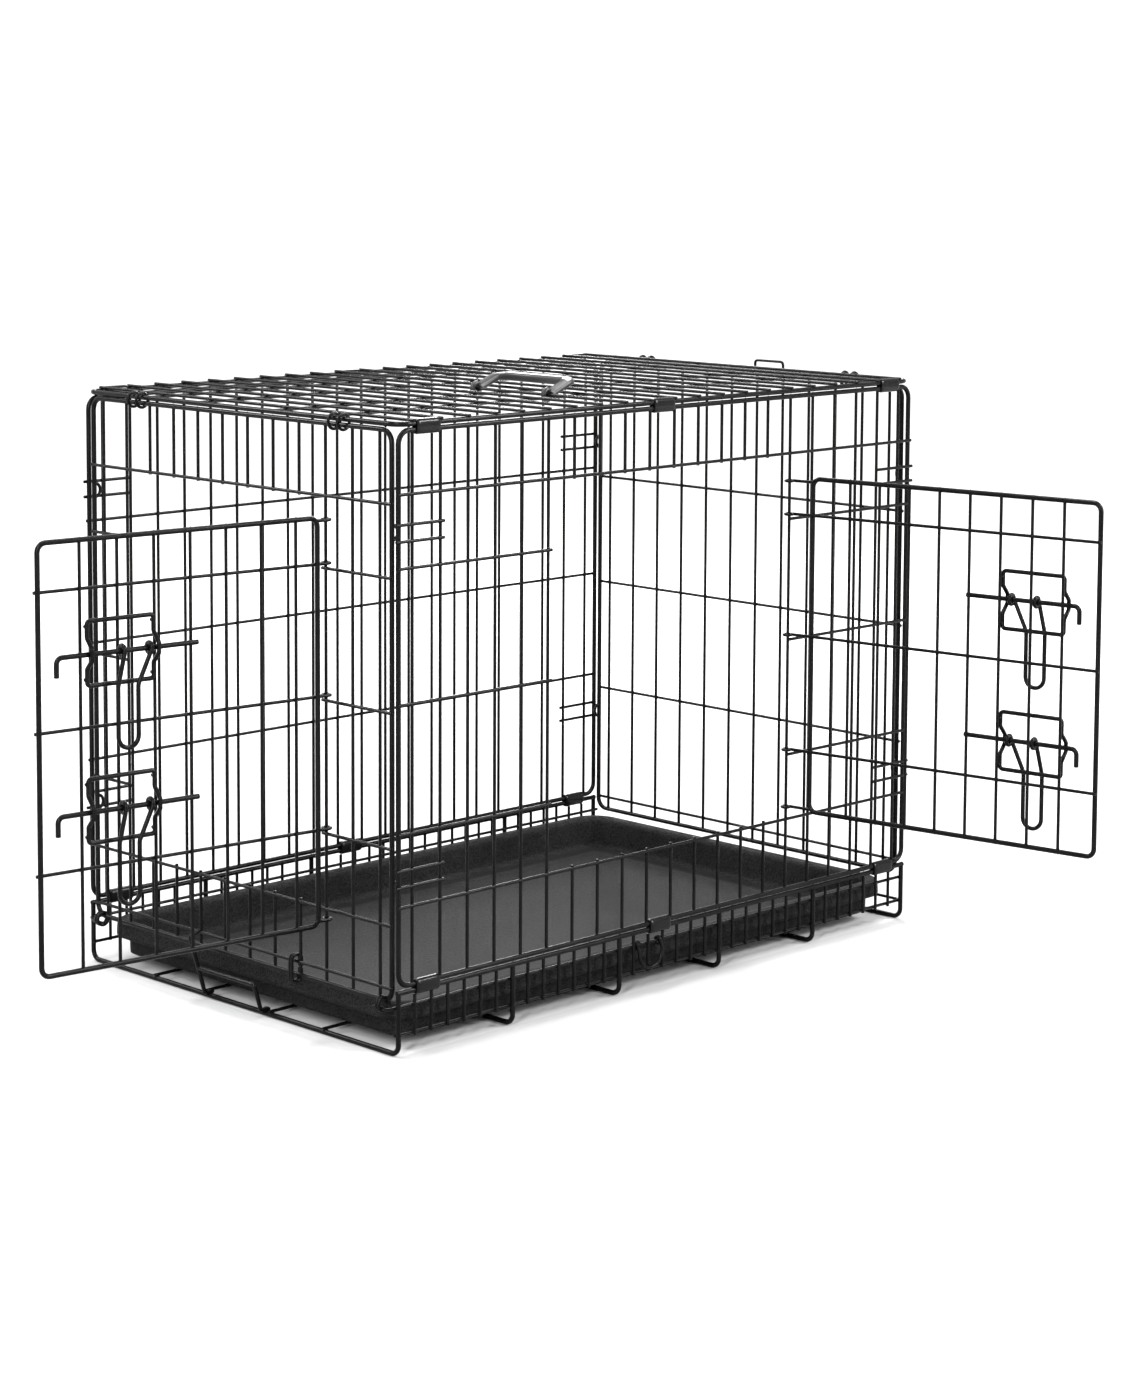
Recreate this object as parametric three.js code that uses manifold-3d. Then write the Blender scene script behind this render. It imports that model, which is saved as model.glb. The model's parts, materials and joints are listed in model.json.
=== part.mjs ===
// Folding wire dog crate: a base tray cage, two long sides, two ends and a top, all welded wire
// grilles, with a front door and a side door that stand open on their hinge wires.
// Millimetres, +Z up. The origin is the middle of the underside of the floor wire below the front
// end. +X runs along the crate to the rear end, +Y runs across it, away from the side door.

import * as THREE from 'three';
import { mergeVertices } from 'three/addons/utils/BufferGeometryUtils.js';
import Module from 'manifold-3d';

const wasm = await Module();
wasm.setup();

// ---- Driving dimensions ----

const crateLength = 710; // between the wire centres of the two ends
const crateWidth = 455; // between the wire centres of the two long sides
const crateHeight = 570; // floor to the wire centre of the top frame

const frameWire = 4.0; // diameter of frame and foot wires
const meshWire = 2.6; // diameter of the grille wires
const latchWire = 3.0; // diameter of guides, latch loops and the tray stop
const boltWire = 3.6; // diameter of the sliding bolts
const ringWire = 2.2; // diameter of the hinge rings

const weldSink = 0.3; // how far two welded wires press into each other
const runGap = 0.4; // clearance of a wire that turns or slides in an eye
const fitGap = 0.3; // gap between separate pieces that touch
const passGap = 0.1; // gap where a cross wire passes an upright between its welds at the frame
const frameGap = 1.5; // clear gap between two frame wires that lie side by side
const endPlay = 3; // extra gap at the ends' posts, so that the ends fold in past the door eyes
const cornerBend = 12; // bend radius of a grille frame's corners
const wireTip = 2.5; // how far a grille wire's end stands past the wire it is welded to

const sideBays = 20; // bays between the first and last upright of a long side
const sideInset = 16.5; // from a long side's post to its first upright
const endBays = 11; // bays between the first and last upright of an end
const endInset = 16; // from an end's post to its first upright

const sideSill = 137; // height of the wire under the side doorway
const sideHeaderDrop = 62; // from the top frame down to the wire over the side doorway
const sideRowGap = 66; // from the sill, and from the header, to the nearest cross wire
const sideRowShift = -2.5; // height of the middle cross wire above the doorway's middle
const frontSill = 119; // the same on the ends, with the front doorway
const frontHeaderDrop = 71;
const endRowGaps = [70, 66];
const endRowShift = 3;
const endRail = 49; // height of an end's bottom frame wire, above the tray
const endLedge = 62; // height of the wire next above it

const sideHingeBay = 15; // upright that carries the side door, counted from the front
const sideDoorBays = 10; // bays that the side door spans
const frontHingeBay = 2; // upright that carries the front door, counted from the side door's side
const frontDoorBays = 8; // bays that the front door spans

const baseTop = 59; // height of the base walls' top wire
const baseMid = 45; // height of their middle wire
const baseLow = 20; // height of their lowest wire
const baseWallBays = 35; // bays between the uprights of a base wall
const footCount = 6; // foot wires across the floor
const footBend = 8; // bend radius of a foot wire at the floor
const floorRails = [49, 126]; // distances of the floor's lengthways wires from the middle

const doorBend = 8; // bend radius of a door frame's corners
const doorLap = 4; // how far a door's free edge passes the doorway's last upright
const doorDrop = 4.5; // height of a door's cross wires above the end's or side's own
const sideDoorInset = 24; // from the hinge wire to the side door's first frame wire
const frontDoorInset = 14; // the same on the front door
const sideDoorGaps = [9, 25]; // from the sill up to the side door's frame, and from the header down
const frontDoorGaps = [-13, 19]; // the same on the front door, whose frame laps the sill
const sideDoorOpen = 98; // degrees that the side door stands open
const frontDoorOpen = 84; // degrees that the front door stands open

const latchPlaces = { lower: 0.2911, upper: 0.6604 }; // bolts, as shares of the side doorway's height
const guideWidth = 66;
const guideHeight = 56;
const guideBend = 3; // bend radius of a guide's corners and bights
const guideKink = 4.5; // half the height of the bight that holds the bolt
const boltTail = 75; // from the guide's middle to the bolt's straight end
const frontBoltReach = 32.3; // from the guide's side to the bent end of the front door's drawn bolts
const sideBoltReach = 13.7; // the same on the side door
const latchInset = 2; // bays from a latch's middle to the door's last upright
const boltHook = 17; // length of the bolt's bent end
const loopEyes = [-26, 1]; // places of the latch loop's eyes along the bolt, from the guide's middle
const loopLegs = [-12, 8]; // places of its straight legs
const loopKnee = 30; // from the bolt down to where the legs turn straight
const loopDrop = 84; // from the bolt down to the end of the latch loop

const lowCatches = [155, 170]; // heights of the short catch wires at the corners
const highCatchDrops = [104, 89]; // the same wires at the top, measured down from the top frame
const catchBight = 7; // radius of the corner hooks between them

const sleeveEndGap = 1.3; // from a sleeve's end to the upright beside it
const sleeveWall = 1.5;
const sleeveBays = [0, 9, 19]; // bays of a long side that hold a sleeve
const ringPitch = 13; // between the two rings of a pair

const trayGap = 6; // from the tray's rim to the wires around it
const trayBottom = 8;
const trayTop = 44;
const trayWall = 2.5;
const trayRim = 13; // width of the rolled rim
const traySkirt = 15; // depth of the rim's outer skirt
const trayCorner = 34; // corner radius of the rim

const linkY = -87; // middle of the link round the front end's two lowest wires

const stopWidth = 84; // width of the tray stop, between wire centres
const stopHeight = 33; // height of its bar above the floor wire
const stopHookHeight = 67; // height of the hook on its tall leg
const stopLean = 17; // degrees that the stop leans outward

const handleBay = 8; // cross wire of the top that the handle turns on
const handleY = -72; // middle of the handle
const handleWidth = 100; // between the arms' centres
const handleReach = 35; // from the hinge wire to the grip
const handleRise = 11; // height of the grip above the hinge wire
const handleThick = 8; // diameter of the grip

// ---- Worked out from the driving dimensions ----

const sectionScale = (sides) => Math.sqrt((2 * Math.PI / sides) / Math.sin(2 * Math.PI / sides));
const outerRadius = (diameter, sides) => (diameter / 2) * sectionScale(sides);
const lap = (a, b) => (a + b) / 2 - weldSink; // centre distance of two wires welded where they cross

const meshSides = 4;
const frameSides = 4;
const frameRadius = outerRadius(frameWire, frameSides);
const meshRadius = outerRadius(meshWire, meshSides);
const latchRadius = outerRadius(latchWire, meshSides);
const boltRadius = outerRadius(boltWire, frameSides);

const frameStep = frameWire + frameGap;
const crossOut = lap(frameWire, meshWire); // cross wires lie outside the frame
const uprightOut = crossOut - 2 * meshRadius - passGap; // uprights lie behind the cross wires
const floorWireZ = frameRadius * Math.cos(Math.PI / frameSides); // its flat underside is at z = 0

const panelTop = crateHeight - frameStep; // top frame wire of the sides and ends
const sideHeader = crateHeight - sideHeaderDrop;
const frontHeader = crateHeight - frontHeaderDrop;
const sideRows = [
  sideSill + sideRowGap,
  (sideSill + sideHeader) / 2 + sideRowShift,
  sideHeader - sideRowGap,
];
const endRows = [
  frontSill + endRowGaps[0],
  (frontSill + frontHeader) / 2 + endRowShift,
  frontHeader - endRowGaps[1],
];
const catchRows = [...lowCatches, ...highCatchDrops.map((drop) => crateHeight - drop)];
const sideDoorZ = [sideSill + sideDoorGaps[0], sideHeader - sideDoorGaps[1]]; // its bottom and top
const frontDoorZ = [frontSill + frontDoorGaps[0], frontHeader - frontDoorGaps[1]];
const latchHeight = (share) => Math.round(sideSill + share * (sideHeader - sideSill));
const sideBottom = baseTop + frameStep;
const sidePitch = (crateLength - 2 * sideInset) / sideBays;
const endWidth = crateWidth - 2 * (frameStep + endPlay);
const endPitch = (endWidth - 2 * endInset) / endBays;
const sideUpright = (bay) => sideInset + bay * sidePitch; // from the front end
const sleeveLength = sidePitch - 2 * (meshRadius + sleeveEndGap);
const endUpright = (bay) => endInset + bay * endPitch; // from the end's first post
const sideSeam = sideUpright(Math.floor(sideBays / 2) + 0.5); // seams lie between two uprights
const endSeam = endUpright(Math.floor(endBays / 2) + 0.5);
const sideHingeX = sideUpright(sideHingeBay);
const frontHingeY = -endWidth / 2 + endUpright(frontHingeBay);

const eyeRadius = meshRadius + runGap + meshRadius; // door eyes round the hinge wires
const doorFrameOut = eyeRadius + lap(frameWire, meshWire);
const doorUprightOut = eyeRadius + 2 * meshRadius + passGap;
const guideOut = doorUprightOut + meshRadius + fitGap + latchRadius;
const loopEye = boltRadius + runGap + latchRadius; // latch loop's eyes round the bolt
const boltOut = doorUprightOut + meshRadius + fitGap + latchRadius + loopEye; // the eyes clear the door
const guideKinkOut = boltOut + loopEye;

const wirePaint = { color: 0x0b0b0c, roughness: 0.38, metalness: 0.35 };
const plasticPaint = { color: 0x161617, roughness: 0.62, metalness: 0.0 };

// ---- Paths, sweeps and joins ----

const rad = THREE.MathUtils.degToRad;
const v3 = (x, y, z) => new THREE.Vector3(x, y, z);

// A wire's centre line through chosen points, so that every ring of the sweep lies on one of them.
class WirePath extends THREE.Curve {
  constructor(points) {
    super();
    this.points = points;
  }

  getPoint(t, target = new THREE.Vector3()) {
    const place = t * (this.points.length - 1);
    const first = Math.min(Math.floor(place), this.points.length - 2);
    return target.lerpVectors(this.points[first], this.points[first + 1], place - first);
  }

  getPointAt(u, target) {
    return this.getPoint(u, target);
  }

  getSpacedPoints() {
    return this.points.map((point) => point.clone());
  }

  getTangentAt(u, target = new THREE.Vector3()) {
    const at = Math.round(u * (this.points.length - 1));
    const before = this.points[Math.max(at - 1, 0)];
    const here = this.points[at];
    const after = this.points[Math.min(at + 1, this.points.length - 1)];
    const into = here.clone().sub(before).normalize();
    const outOf = after.clone().sub(here).normalize();
    return target.copy(into).add(outOf).normalize();
  }
}

// Replaces each inner corner of a route by an arc.
function rounded(corners, radius, arcSteps = 3) {
  const points = [corners[0]];
  for (let i = 1; i < corners.length - 1; i += 1) {
    const into = corners[i].clone().sub(corners[i - 1]).normalize();
    const outOf = corners[i + 1].clone().sub(corners[i]).normalize();
    const turn = into.angleTo(outOf);
    const setBack = radius * Math.tan(turn / 2);
    const start = corners[i].clone().addScaledVector(into, -setBack);
    const side = outOf.clone().addScaledVector(into, -into.dot(outOf)).normalize();
    for (let k = 0; k <= arcSteps; k += 1) {
      const angle = (turn * k) / arcSteps;
      const along = radius * Math.sin(angle);
      const across = radius * (1 - Math.cos(angle));
      points.push(start.clone().addScaledVector(into, along).addScaledVector(side, across));
    }
  }
  points.push(corners[corners.length - 1]);
  return points;
}

function regularShape(radius, sides, flatFirst = false) {
  const shape = new THREE.Shape();
  const turn = flatFirst ? Math.PI / sides : 0;
  for (let i = 0; i < sides; i += 1) {
    const angle = turn + (2 * Math.PI * i) / sides;
    const x = radius * Math.cos(angle);
    const y = radius * Math.sin(angle);
    if (i === 0) shape.moveTo(x, y);
    else shape.lineTo(x, y);
  }
  shape.closePath();
  return shape;
}

function toSolid(geometry) {
  const bare = geometry.clone();
  bare.deleteAttribute('normal');
  bare.deleteAttribute('uv');
  const merged = mergeVertices(bare, 1e-4);
  return new wasm.Manifold(new wasm.Mesh({
    numProp: 3,
    vertProperties: new Float32Array(merged.attributes.position.array),
    triVerts: new Uint32Array(merged.index.array),
  }));
}

function toGeometry(solid) {
  const mesh = solid.getMesh();
  const geometry = new THREE.BufferGeometry();
  geometry.setAttribute('position', new THREE.BufferAttribute(mesh.vertProperties, 3));
  geometry.setIndex(new THREE.BufferAttribute(mesh.triVerts, 1));
  geometry.computeVertexNormals();
  return geometry;
}

const join = (solids) => solids.reduce((sum, solid) => sum.add(solid));

// A wire along points. When the last point is the first again, the two lids are left out.
function sweep(points, diameter, sides, flatFirst = false) {
  const shape = regularShape(outerRadius(diameter, sides), sides, flatFirst);
  const path = new WirePath(points);
  const wire = new THREE.ExtrudeGeometry(shape, { steps: points.length - 1, extrudePath: path });
  if (points[0].distanceTo(points[points.length - 1]) > 0) return toSolid(wire);
  const { start, count } = wire.groups[1];
  const tube = new THREE.BufferGeometry();
  const positions = wire.attributes.position.array.slice(3 * start, 3 * (start + count));
  tube.setAttribute('position', new THREE.BufferAttribute(positions, 3));
  return toSolid(tube);
}

const mesh = (...points) => sweep(points, meshWire, meshSides);
const frame = (points) => sweep(points, frameWire, frameSides);

// A ring of wire: axis is the direction that the ring goes round.
function ring(centre, axis, radius, diameter, around = 8) {
  const tube = outerRadius(diameter, meshSides);
  const torus = new THREE.TorusGeometry(radius, tube, meshSides, around);
  torus.applyQuaternion(new THREE.Quaternion().setFromUnitVectors(v3(0, 0, 1), axis));
  torus.translate(centre.x, centre.y, centre.z);
  return toSolid(torus);
}

// A closed rectangle of frame wire in the local x-z plane. Its ends meet in the bottom wire, at seam.
function frameLoop(x0, x1, z0, z1, seam, out = 0, bend = cornerBend) {
  return frame(rounded([
    v3(seam, out, z0), v3(x0, out, z0), v3(x0, out, z1),
    v3(x1, out, z1), v3(x1, out, z0), v3(seam, out, z0),
  ], bend));
}

const crossWire = (x0, x1, z, out = crossOut) => mesh(v3(x0, out, z), v3(x1, out, z));
const upright = (x, z0, z1, out = uprightOut) => mesh(v3(x, out, z0), v3(x, out, z1));

// ---- Long sides and ends ----
// Each grille is drawn in its own frame: x along it, y outward, z up from the floor.

function catchWires(length) {
  const reach = sideUpright(1) + wireTip;
  return catchRows.flatMap((z) => [
    crossWire(-frameRadius - wireTip, reach, z),
    crossWire(length - reach, length + frameRadius + wireTip, z),
  ]);
}

// The doorway runs from bay opening[0] to bay opening[1]; without one the grille is whole.
function sideGrille(opening) {
  const wires = [frameLoop(0, crateLength, sideBottom, panelTop, sideSeam), ...catchWires(crateLength)];
  const ends = [-frameRadius, crateLength + frameRadius];
  for (let bay = 0; bay <= sideBays; bay += 1) {
    const x = sideUpright(bay);
    if (opening && bay > opening[0] && bay < opening[1]) {
      wires.push(upright(x, sideBottom, sideSill + wireTip));
      wires.push(upright(x, sideHeader - wireTip, panelTop));
    } else {
      wires.push(upright(x, sideBottom, panelTop));
    }
  }
  for (const z of sideRows) {
    if (opening) {
      wires.push(crossWire(ends[0], sideUpright(opening[0]) + wireTip, z));
      wires.push(crossWire(sideUpright(opening[1]) - wireTip, ends[1], z));
    } else {
      wires.push(crossWire(...ends, z));
    }
  }
  if (opening) wires.push(crossWire(...ends, sideSill), crossWire(...ends, sideHeader));
  return join(wires);
}

function cornerHooks() {
  const hooks = [];
  for (const x of [0, endWidth]) {
    for (const [low, high] of [catchRows.slice(0, 2), catchRows.slice(2)]) {
      const middle = (low + high) / 2;
      const arc = [];
      for (let k = 0; k <= 4; k += 1) {
        const angle = (Math.PI * k) / 4;
        const inward = -catchBight * Math.sin(angle);
        arc.push(v3(x, inward, middle - catchBight * Math.cos(angle)));
      }
      hooks.push(sweep(arc, meshWire, meshSides));
    }
  }
  return hooks;
}

function endGrille(opening) {
  const wires = [frameLoop(0, endWidth, endRail, panelTop, endSeam), ...cornerHooks()];
  const ends = [-frameRadius, endWidth + frameRadius];
  for (let bay = 0; bay <= endBays; bay += 1) {
    const x = endUpright(bay);
    if (opening && bay > opening[0] && bay < opening[1]) {
      wires.push(upright(x, endRail, frontSill + wireTip));
      wires.push(upright(x, frontHeader - wireTip, panelTop));
    } else {
      wires.push(upright(x, endRail, panelTop));
    }
  }
  for (const z of endRows) {
    if (opening) {
      wires.push(crossWire(ends[0], endUpright(opening[0]) + wireTip, z));
      wires.push(crossWire(endUpright(opening[1]) - wireTip, ends[1], z));
    } else {
      wires.push(crossWire(...ends, z));
    }
  }
  wires.push(crossWire(...ends, endLedge));
  if (opening) wires.push(crossWire(...ends, frontSill), crossWire(...ends, frontHeader));
  return join(wires);
}

// ---- Top ----

function topStaple() {
  const height = 7;
  const halfWidth = 20;
  const middle = -35;
  return sweep(rounded([
    v3(crateLength, middle - halfWidth, crateHeight),
    v3(crateLength, middle - halfWidth, crateHeight + frameRadius + height),
    v3(crateLength, middle + halfWidth, crateHeight + frameRadius + height),
    v3(crateLength, middle + halfWidth, crateHeight),
  ], 3, 2), ringWire, meshSides);
}

function topGrille() {
  const half = crateWidth / 2;
  const z = crateHeight;
  const edge = frame(rounded([
    v3(sideSeam, -half, z), v3(0, -half, z), v3(0, half, z),
    v3(crateLength, half, z), v3(crateLength, -half, z), v3(sideSeam, -half, z),
  ], cornerBend));
  const wires = [edge, topStaple()];
  for (let bay = 0; bay <= sideBays; bay += 1) {
    const x = sideUpright(bay);
    const tip = half + frameRadius;
    wires.push(mesh(v3(x, -tip, z + crossOut), v3(x, tip, z + crossOut)));
  }
  for (const bay of [2, 4, endBays - 4, endBays - 2]) {
    const y = -endWidth / 2 + endUpright(bay);
    wires.push(mesh(v3(0, y, z + uprightOut), v3(crateLength, y, z + uprightOut)));
  }
  return join(wires);
}

// ---- Base ----

const atSleeve = (x) => sleeveBays.some((bay) => {
  const centre = (sideUpright(bay) + sideUpright(bay + 1)) / 2;
  return Math.abs(x - centre) < sleeveLength / 2 + meshRadius + runGap;
});

function baseWall(side) {
  const half = crateWidth / 2;
  const inside = side * (half - crossOut);
  const wires = [
    frame([v3(-frameRadius, side * half, baseTop), v3(crateLength + frameRadius, side * half, baseTop)]),
    mesh(v3(-frameRadius - wireTip, inside, baseMid), v3(crateLength + frameRadius, inside, baseMid)),
  ];
  const pitch = crateLength / baseWallBays;
  const belowSleeve = baseTop - frameRadius - runGap - sleeveWall - 2 * runGap;
  for (let bay = 1; bay < baseWallBays; bay += 1) {
    const x = bay * pitch;
    const onFoot = bay % (baseWallBays / (footCount - 1)) === 0;
    const y = side * (half - crossOut + lap(meshWire, meshWire));
    const z1 = atSleeve(x) ? belowSleeve : baseTop;
    if (!onFoot) wires.push(mesh(v3(x, y, baseLow - wireTip), v3(x, y, z1)));
  }
  return wires;
}

function footWires() {
  const half = crateWidth / 2;
  const feet = [];
  for (let i = 0; i < footCount; i += 1) {
    const x = (crateLength * i) / (footCount - 1);
    const level = [-half, half].map((y) => [v3(x, y, baseTop), v3(x, y, floorWireZ)]);
    feet.push(sweep(rounded([...level[0], ...level[1].reverse()], footBend), frameWire, frameSides, true));
  }
  return feet;
}

function basePanel() {
  const inside = crateWidth / 2 - crossOut;
  const rear = crateLength + crossOut;
  const low = [v3(-frameRadius, -inside, baseLow), v3(rear, -inside, baseLow),
    v3(rear, inside, baseLow), v3(-frameRadius, inside, baseLow)];
  const hoop = sweep(rounded(low, 4, 2), meshWire, meshSides);
  const wires = [hoop, ...footWires(), ...baseWall(-1), ...baseWall(1)];
  const railZ = floorWireZ + crossOut;
  for (const y of floorRails.flatMap((d) => [-d, d])) {
    wires.push(mesh(v3(-frameRadius, y, railZ), v3(crateLength + frameRadius, y, railZ)));
  }
  return join(wires);
}

// ---- Doors ----
// A door is drawn in its own frame: its hinge wire at the origin, x to the free edge, y outward.

function door(pitch, bays, firstBay, inset, [bottom, top], rows) {
  const width = bays * pitch + doorLap;
  const seam = (Math.floor(bays / 2) + 0.5) * pitch;
  const wires = [frameLoop(inset, width, bottom, top, seam, doorFrameOut, doorBend)];
  for (let bay = firstBay; bay < bays; bay += 1) {
    wires.push(upright(bay * pitch, bottom, top, doorUprightOut));
  }
  for (const row of rows) {
    const z = row + doorDrop;
    wires.push(crossWire(0, width + wireTip, z, eyeRadius));
    wires.push(ring(v3(0, 0, z), v3(0, 0, 1), eyeRadius, meshWire));
  }
  for (const z of [bottom, top]) {
    const level = z === top ? z - lap(frameWire, meshWire) : z + lap(frameWire, meshWire);
    wires.push(crossWire(0, inset + frameRadius, level, eyeRadius));
    wires.push(ring(v3(0, 0, level), v3(0, 0, 1), eyeRadius, meshWire));
  }
  return join(wires);
}

// ---- Latches: each is a guide welded to the door, a bolt that slides and a loop that lifts ----

// A closed wire frame with a bight on each side that holds the bolt.
function latchGuide(middle, z) {
  const slope = guideKinkOut - guideOut;
  const low = z - guideHeight / 2;
  const high = z + guideHeight / 2;
  const side = (x) => [
    v3(x, guideOut, low), v3(x, guideOut, z - guideKink - slope), v3(x, guideKinkOut, z - guideKink),
    v3(x, guideKinkOut, z + guideKink), v3(x, guideOut, z + guideKink + slope), v3(x, guideOut, high),
  ];
  const start = v3(middle, guideOut, low);
  const up = side(middle + guideWidth / 2);
  const down = side(middle - guideWidth / 2).reverse();
  return sweep(rounded([start, ...up, ...down, start], guideBend, 1), latchWire, meshSides);
}

function latchBolt(middle, z, tip) {
  const route = [v3(middle - boltTail, boltOut, z), v3(tip, boltOut, z), v3(tip, boltOut, z - boltHook)];
  return sweep(rounded(route, 5), boltWire, frameSides);
}

function latchLoop(middle, z) {
  const half = (loopLegs[1] - loopLegs[0]) / 2;
  const centre = middle + loopLegs[0] + half;
  const out = boltOut + loopEye;
  const bow = [];
  for (let k = 0; k <= 6; k += 1) {
    const angle = (Math.PI * k) / 6;
    bow.push(v3(centre - half * Math.cos(angle), out, z - loopDrop + half - half * Math.sin(angle)));
  }
  const [first, last] = loopEyes.map((at) => v3(middle + at, out, z));
  const knees = loopLegs.map((at) => v3(middle + at, out, z - loopKnee));
  const legs = [first, knees[0], ...bow, knees[1], last];
  const eyes = loopEyes.map((at) => ring(v3(middle + at, boltOut, z), v3(1, 0, 0), loopEye, latchWire));
  return join([sweep(legs, latchWire, meshSides), ...eyes]);
}

// ---- Tray, its stop and the carry handle ----

function roundedPlate(inset, z0, z1) {
  const halfX = crateLength / 2 - trayGap - inset;
  const halfY = crateWidth / 2 - crossOut - meshRadius - trayGap / 2 - inset;
  const bend = trayCorner - inset;
  const shape = new THREE.Shape();
  shape.moveTo(-halfX + bend, -halfY);
  shape.lineTo(halfX - bend, -halfY);
  shape.absarc(halfX - bend, -halfY + bend, bend, -Math.PI / 2, 0);
  shape.absarc(halfX - bend, halfY - bend, bend, 0, Math.PI / 2);
  shape.absarc(-halfX + bend, halfY - bend, bend, Math.PI / 2, Math.PI);
  shape.absarc(-halfX + bend, -halfY + bend, bend, Math.PI, 1.5 * Math.PI);
  const plate = new THREE.ExtrudeGeometry(shape, { depth: z1 - z0, bevelEnabled: false, curveSegments: 4 });
  plate.translate(crateLength / 2, 0, z0);
  return toSolid(plate);
}

function tray() {
  const over = 1; // a cutter passes this far beyond the face that it cuts
  const block = roundedPlate(0, trayTop - traySkirt, trayTop).add(roundedPlate(trayRim, trayBottom, trayTop));
  const pocket = roundedPlate(trayRim + trayWall, trayBottom + trayWall, trayTop + over);
  const rimHollow = roundedPlate(trayWall, trayTop - traySkirt - over, trayTop - trayWall)
    .subtract(roundedPlate(trayRim, trayTop - traySkirt - 2 * over, trayTop));
  return block.subtract(pocket).subtract(rimHollow);
}

// Drawn upright on the floor wire's centre line, then leaned where it is placed. Its legs end in
// open hooks over the floor wire, so that nothing reaches below the floor.
function trayStop() {
  const eye = frameRadius + runGap + latchRadius;
  const half = stopWidth / 2;
  const onEye = (y, degrees) => v3(eye * Math.cos(rad(degrees)), y, eye * Math.sin(rad(degrees)));
  const hookEnd = (y) => [30, 60, 90].map((degrees) => onEye(y, degrees));
  const leg = (y, height) => [...hookEnd(y), v3(-eye, y, eye + 4), v3(-eye, y, height)];
  const bar = [...leg(-half, stopHeight), v3(-eye, half, stopHeight)];
  const tall = [...leg(half, stopHookHeight), v3(eye * 1.5, half, stopHookHeight)];
  return join([bar, tall].map((route) => sweep(rounded(route, 1.5, 1), latchWire, meshSides)));
}

// Drawn with its hinge wire at the origin and its arms running along +X.
function carryHandle() {
  const thin = handleThick * 0.7;
  const eye = meshRadius + runGap + outerRadius(thin, meshSides);
  const half = handleWidth / 2;
  const route = rounded([
    v3(eye - 1, -half, 0), v3(handleReach * 0.8, -half, handleRise), v3(handleReach, -half + 8, handleRise),
    v3(handleReach, half - 8, handleRise), v3(handleReach * 0.8, half, handleRise), v3(eye - 1, half, 0),
  ], 5, 2);
  const eyes = [-half, half].map((y) => ring(v3(0, y, 0), v3(0, 1, 0), eye, thin));
  return join([sweep(route, handleThick, frameSides), ...eyes]);
}

// ---- Hinge rings and sleeves, which hold two frame wires side by side ----

const ringRadius = frameStep / 2 + frameRadius + runGap + outerRadius(ringWire, meshSides);

function stadium(shape, radius, rise) {
  const flat = radius / 2;
  shape.moveTo(radius, -rise);
  shape.lineTo(radius, rise);
  shape.lineTo(flat, rise + radius);
  shape.lineTo(-flat, rise + radius);
  shape.lineTo(-radius, rise);
  shape.lineTo(-radius, -rise);
  shape.lineTo(-flat, -rise - radius);
  shape.lineTo(flat, -rise - radius);
  shape.closePath();
  return shape;
}

// A sleeve round two wires stacked in z, drawn along z with the pair's middle at the origin.
function sleeve() {
  const bore = frameRadius + runGap;
  const shape = stadium(new THREE.Shape(), bore + sleeveWall, frameStep / 2);
  shape.holes.push(stadium(new THREE.Path(), bore, frameStep / 2));
  const body = new THREE.ExtrudeGeometry(shape, { depth: sleeveLength, bevelEnabled: false });
  body.translate(0, 0, -sleeveLength / 2);
  body.rotateX(Math.PI / 2);
  body.rotateZ(Math.PI / 2);
  return toSolid(body);
}

// A link round the front end's two bottom wires.
function frontLink() {
  const reach = frameRadius + crossOut / 2 + runGap + outerRadius(ringWire, meshSides);
  const low = -reach;
  const high = endLedge - endRail + reach;
  const middle = (low + high) / 2;
  return sweep(rounded([
    v3(-reach, middle - 1, 0), v3(-reach, low, 0), v3(reach, low, 0),
    v3(reach, high, 0), v3(-reach, high, 0), v3(-reach, middle + 1, 0),
  ].map(({ x, y }) => v3(0, x + crossOut / 2, y)), 3, 2), ringWire, meshSides);
}

// ---- The assembly ----

const crate = new THREE.Group();

function place(name, solid, paint, [x, y, z] = [0, 0, 0], [rx, ry, rz] = [0, 0, 0], holder = crate) {
  const part = new THREE.Mesh(toGeometry(solid), new THREE.MeshStandardMaterial(paint));
  part.name = name;
  part.position.set(x, y, z);
  part.rotation.set(rx, ry, rz);
  holder.add(part);
}

const halfWidth = crateWidth / 2;
const sideDoorway = [sideHingeBay - sideDoorBays, sideHingeBay];
const frontDoorway = [frontHingeBay, frontHingeBay + frontDoorBays];
// The doorway side is drawn from the rear end, so its bays are counted the other way.
const mirroredDoorway = sideDoorway.map((bay) => sideBays - bay).reverse();

place('base_panel', basePanel(), wirePaint);
place('side_panel_with_doorway', sideGrille(mirroredDoorway), wirePaint,
  [crateLength, -halfWidth, 0], [0, 0, Math.PI]);
place('side_panel_plain', sideGrille(), wirePaint, [0, halfWidth, 0]);
place('front_panel', endGrille(frontDoorway), wirePaint, [0, -endWidth / 2, 0], [0, 0, Math.PI / 2]);
place('rear_panel', endGrille(), wirePaint, [crateLength, endWidth / 2, 0], [0, 0, -Math.PI / 2]);
place('top_panel', topGrille(), wirePaint);

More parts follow.
